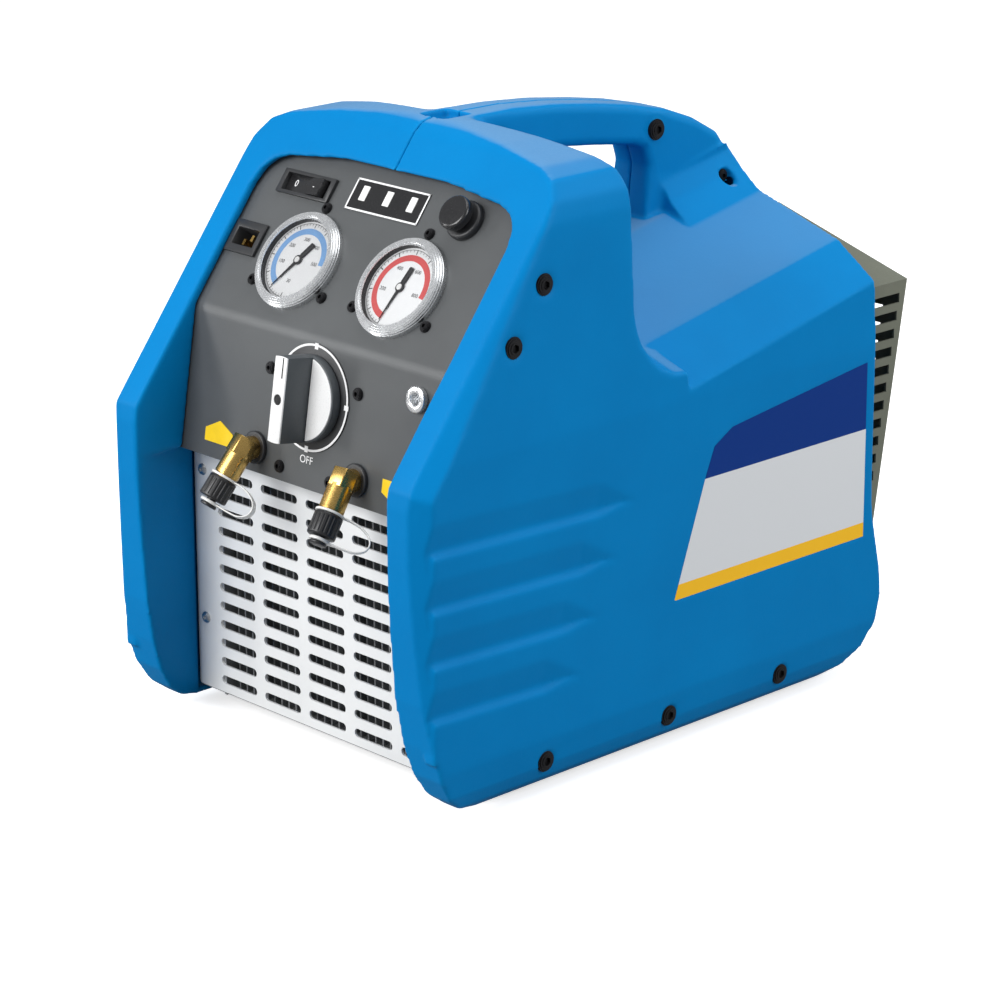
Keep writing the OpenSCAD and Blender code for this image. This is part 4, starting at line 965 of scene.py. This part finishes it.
def strapRibbon(name):
    path = [(7.0, 18.0), (13, 18.4), (19.5, 20.2), (24.2, 24.2), (24.6, 28.6), (20.6, 32.2), (13, 33.2),
            (5.0, 33.0)]
    curve = bpy.data.curves.new(name, "CURVE")
    curve.dimensions = "3D"
    spline = curve.splines.new("BEZIER")
    spline.bezier_points.add(len(path) - 1)
    for point, (r, z) in zip(spline.bezier_points, path):
        point.co = (r * mm, z * mm, 0)
        point.handle_left_type = "AUTO"
        point.handle_right_type = "AUTO"
    curve.extrude = port["strapWide"] * mm
    curve.bevel_depth = port["strapThick"] * mm
    curve.bevel_resolution = 2
    curve.resolution_u = 8
    obj = bpy.data.objects.new(name, curve)
    scene.collection.objects.link(obj)
    pick(obj)
    bpy.ops.object.convert(target="MESH")
    obj = bpy.context.object
    obj.data.transform(Matrix.Rotation(rad(port["strapTurn"]), 4, "Z") @ Matrix.Rotation(rad(90), 4, "X"))
    return obj


for side, prefix in ((-1, "in"), (1, "out")):
    seat = portSeat(side)
    portBody(prefix, seat, onFront(port["x"] * side, port["z"]))
    portCap(prefix, seat)
    portStrap(prefix, seat)
print("stage: ports")

# switch, inlet, breaker, lamps and drain
softened("switch_bezel", "switchBezel", "frame", 0.5)
softened("switch_rocker", "switchRocker", "rocker", 0.5)
softened("power_inlet", "powerInlet", "frame", 0.4)
softened("breaker_collar", "breakerCollar", "frame", 0.6)
softened("breaker_button", "breakerButton", "breaker", 1.0, 3)
softened("indicator_lamps", "indicatorLamps", "frame", 0.25)
softened("oil_drain", "oilDrain", "frame", 0.6)
rocker = {"x": -62, "s": 79.5, "n": -3.5, "rest": -10, "mark": 5.5, "markAt": 8.5, "markRise": 5.26,
          "markTilt": 6.6}
rockerFace = onSlope(rocker["x"], rocker["s"], rocker["n"]) @ Matrix.Rotation(rad(rocker["rest"]), 4, "Y")
rockerMarks = []
for words, end in (("0", -1), ("-", 1)):
    mark = flatText("rockerMark", words, rocker["mark"], 0, 0, 0)
    spot = Matrix.Translation((rocker["markAt"] * end * mm, 0, rocker["markRise"] * mm))
    mark.data.transform(rockerFace @ spot @ Matrix.Rotation(rad(-rocker["markTilt"] * end), 4, "Y"))
    rockerMarks.append(mark)
rockerPrint = joined("rockerPrint", rockerMarks)
wear(rockerPrint, finish["whiteInk"])
settle(rockerPrint, "rocker")
lampBox = {"x": 28, "low": 72.7, "high": 91, "line": 1.0, "n": 0.66}
x, low, high, line = (lampBox[key] for key in ("x", "low", "high", "line"))
edges = []
for left, right, foot, head in ((-x, x, low, low + line), (-x, x, high - line, high),
                                (-x, -x + line, low, high), (x - line, x, low, high)):
    corners = [(left, foot), (right, foot), (right, head), (left, head)]
    edges.append(flatShape("lampEdge", corners, lampBox["n"]))
lampFrame = joined("lampFrame", edges)
wear(lampFrame, finish["whiteInk"])
settle(lampFrame, "frame", (), onSlope(0, 0))
print("stage: panel fittings")

# studio: pale floor, soft lamps
studio = {"floor": (0.86, 0.86, 0.86), "bounce": 0.3, "glow": 0.6, "world": 0.40,
          "key": 45, "fill": 24, "strip": 6, "side": 7, "top": 17}


def softLamp(name, spot, aim, size, power):
    lamp = bpy.data.lights.new(name, "AREA")
    lamp.shape = "RECTANGLE"
    lamp.size, lamp.size_y = size
    lamp.energy = power
    obj = bpy.data.objects.new(name, lamp)
    scene.collection.objects.link(obj)
    obj.location = spot
    obj.rotation_euler = (Vector(aim) - Vector(spot)).to_track_quat("-Z", "Y").to_euler()


softLamp("keyLamp", (-0.42, -2.05, 1.2), (0, 0, 0.16), (1.4, 1.1), studio["key"])
softLamp("fillLamp", (2.0, 0.5, 1.2), (0, 0, 0.15), (1.2, 1.2), studio["fill"])
softLamp("stripLamp", (-1.35, -1.3, 0.62), (0, -0.15, 0.23), (0.25, 0.9), studio["strip"])
softLamp("sideLamp", (0.7, 1.6, 1.2), (0, 0, 0.2), (1.2, 1.0), studio["side"])
softLamp("topLamp", (0.2, 0.1, 1.9), (0, 0, 0.2), (1.5, 1.5), studio["top"])

world = bpy.data.worlds.new("paleRoom")
scene.world = world
world.use_nodes = True
wt = world.node_tree
bg = wt.nodes["Background"]
bg.inputs["Color"].default_value = (0.95, 0.97, 1.0, 1.0)
path = wt.nodes.new("ShaderNodeLightPath")
seen = wt.nodes.new("ShaderNodeMath")
seen.operation = "MAXIMUM"
wt.links.new(path.outputs["Is Camera Ray"], seen.inputs[0])
wt.links.new(path.outputs["Is Transmission Ray"], seen.inputs[1])
level = wt.nodes.new("ShaderNodeMapRange")
level.inputs["To Min"].default_value = studio["world"]
level.inputs["To Max"].default_value = 1.0
wt.links.new(seen.outputs["Value"], level.inputs["Value"])
wt.links.new(level.outputs["Result"], bg.inputs["Strength"])

deselect()
bpy.ops.mesh.primitive_plane_add(size=1, location=(0, 0, 0))
floor = bpy.context.object
floor.name = "paleFloor"
floor.scale = (9, 9, 1)
bake(floor)
floorMat, floorTree, floorShader = newFinish("paleFloor")
floorShader.inputs["Roughness"].default_value = 0.7
tone = objectNoise(floorTree, 3.0, 2.0)
floorPath = floorTree.nodes.new("ShaderNodeLightPath")
tones = [(0.3, scaled(studio["floor"], 0.985)), (0.7, studio["floor"])]
darker = scaled(studio["floor"], studio["bounce"])  # what the machine itself is lit by
floorTone = mixed(floorTree, floorPath.outputs["Is Camera Ray"], darker, ramp(floorTree, tone, tones))
floorTree.links.new(floorTone, floorShader.inputs["Base Color"])
floorGlow = floorTree.nodes.new("ShaderNodeMath")
floorGlow.operation = "MULTIPLY"
floorGlow.inputs[1].default_value = studio["glow"]
floorTree.links.new(floorPath.outputs["Is Camera Ray"], floorGlow.inputs[0])
floorShader.inputs["Emission Color"].default_value = (1.0, 1.0, 1.0, 1.0)
floorTree.links.new(floorGlow.outputs["Value"], floorShader.inputs["Emission Strength"])
wear(floor, floorMat)
print("stage: studio set")
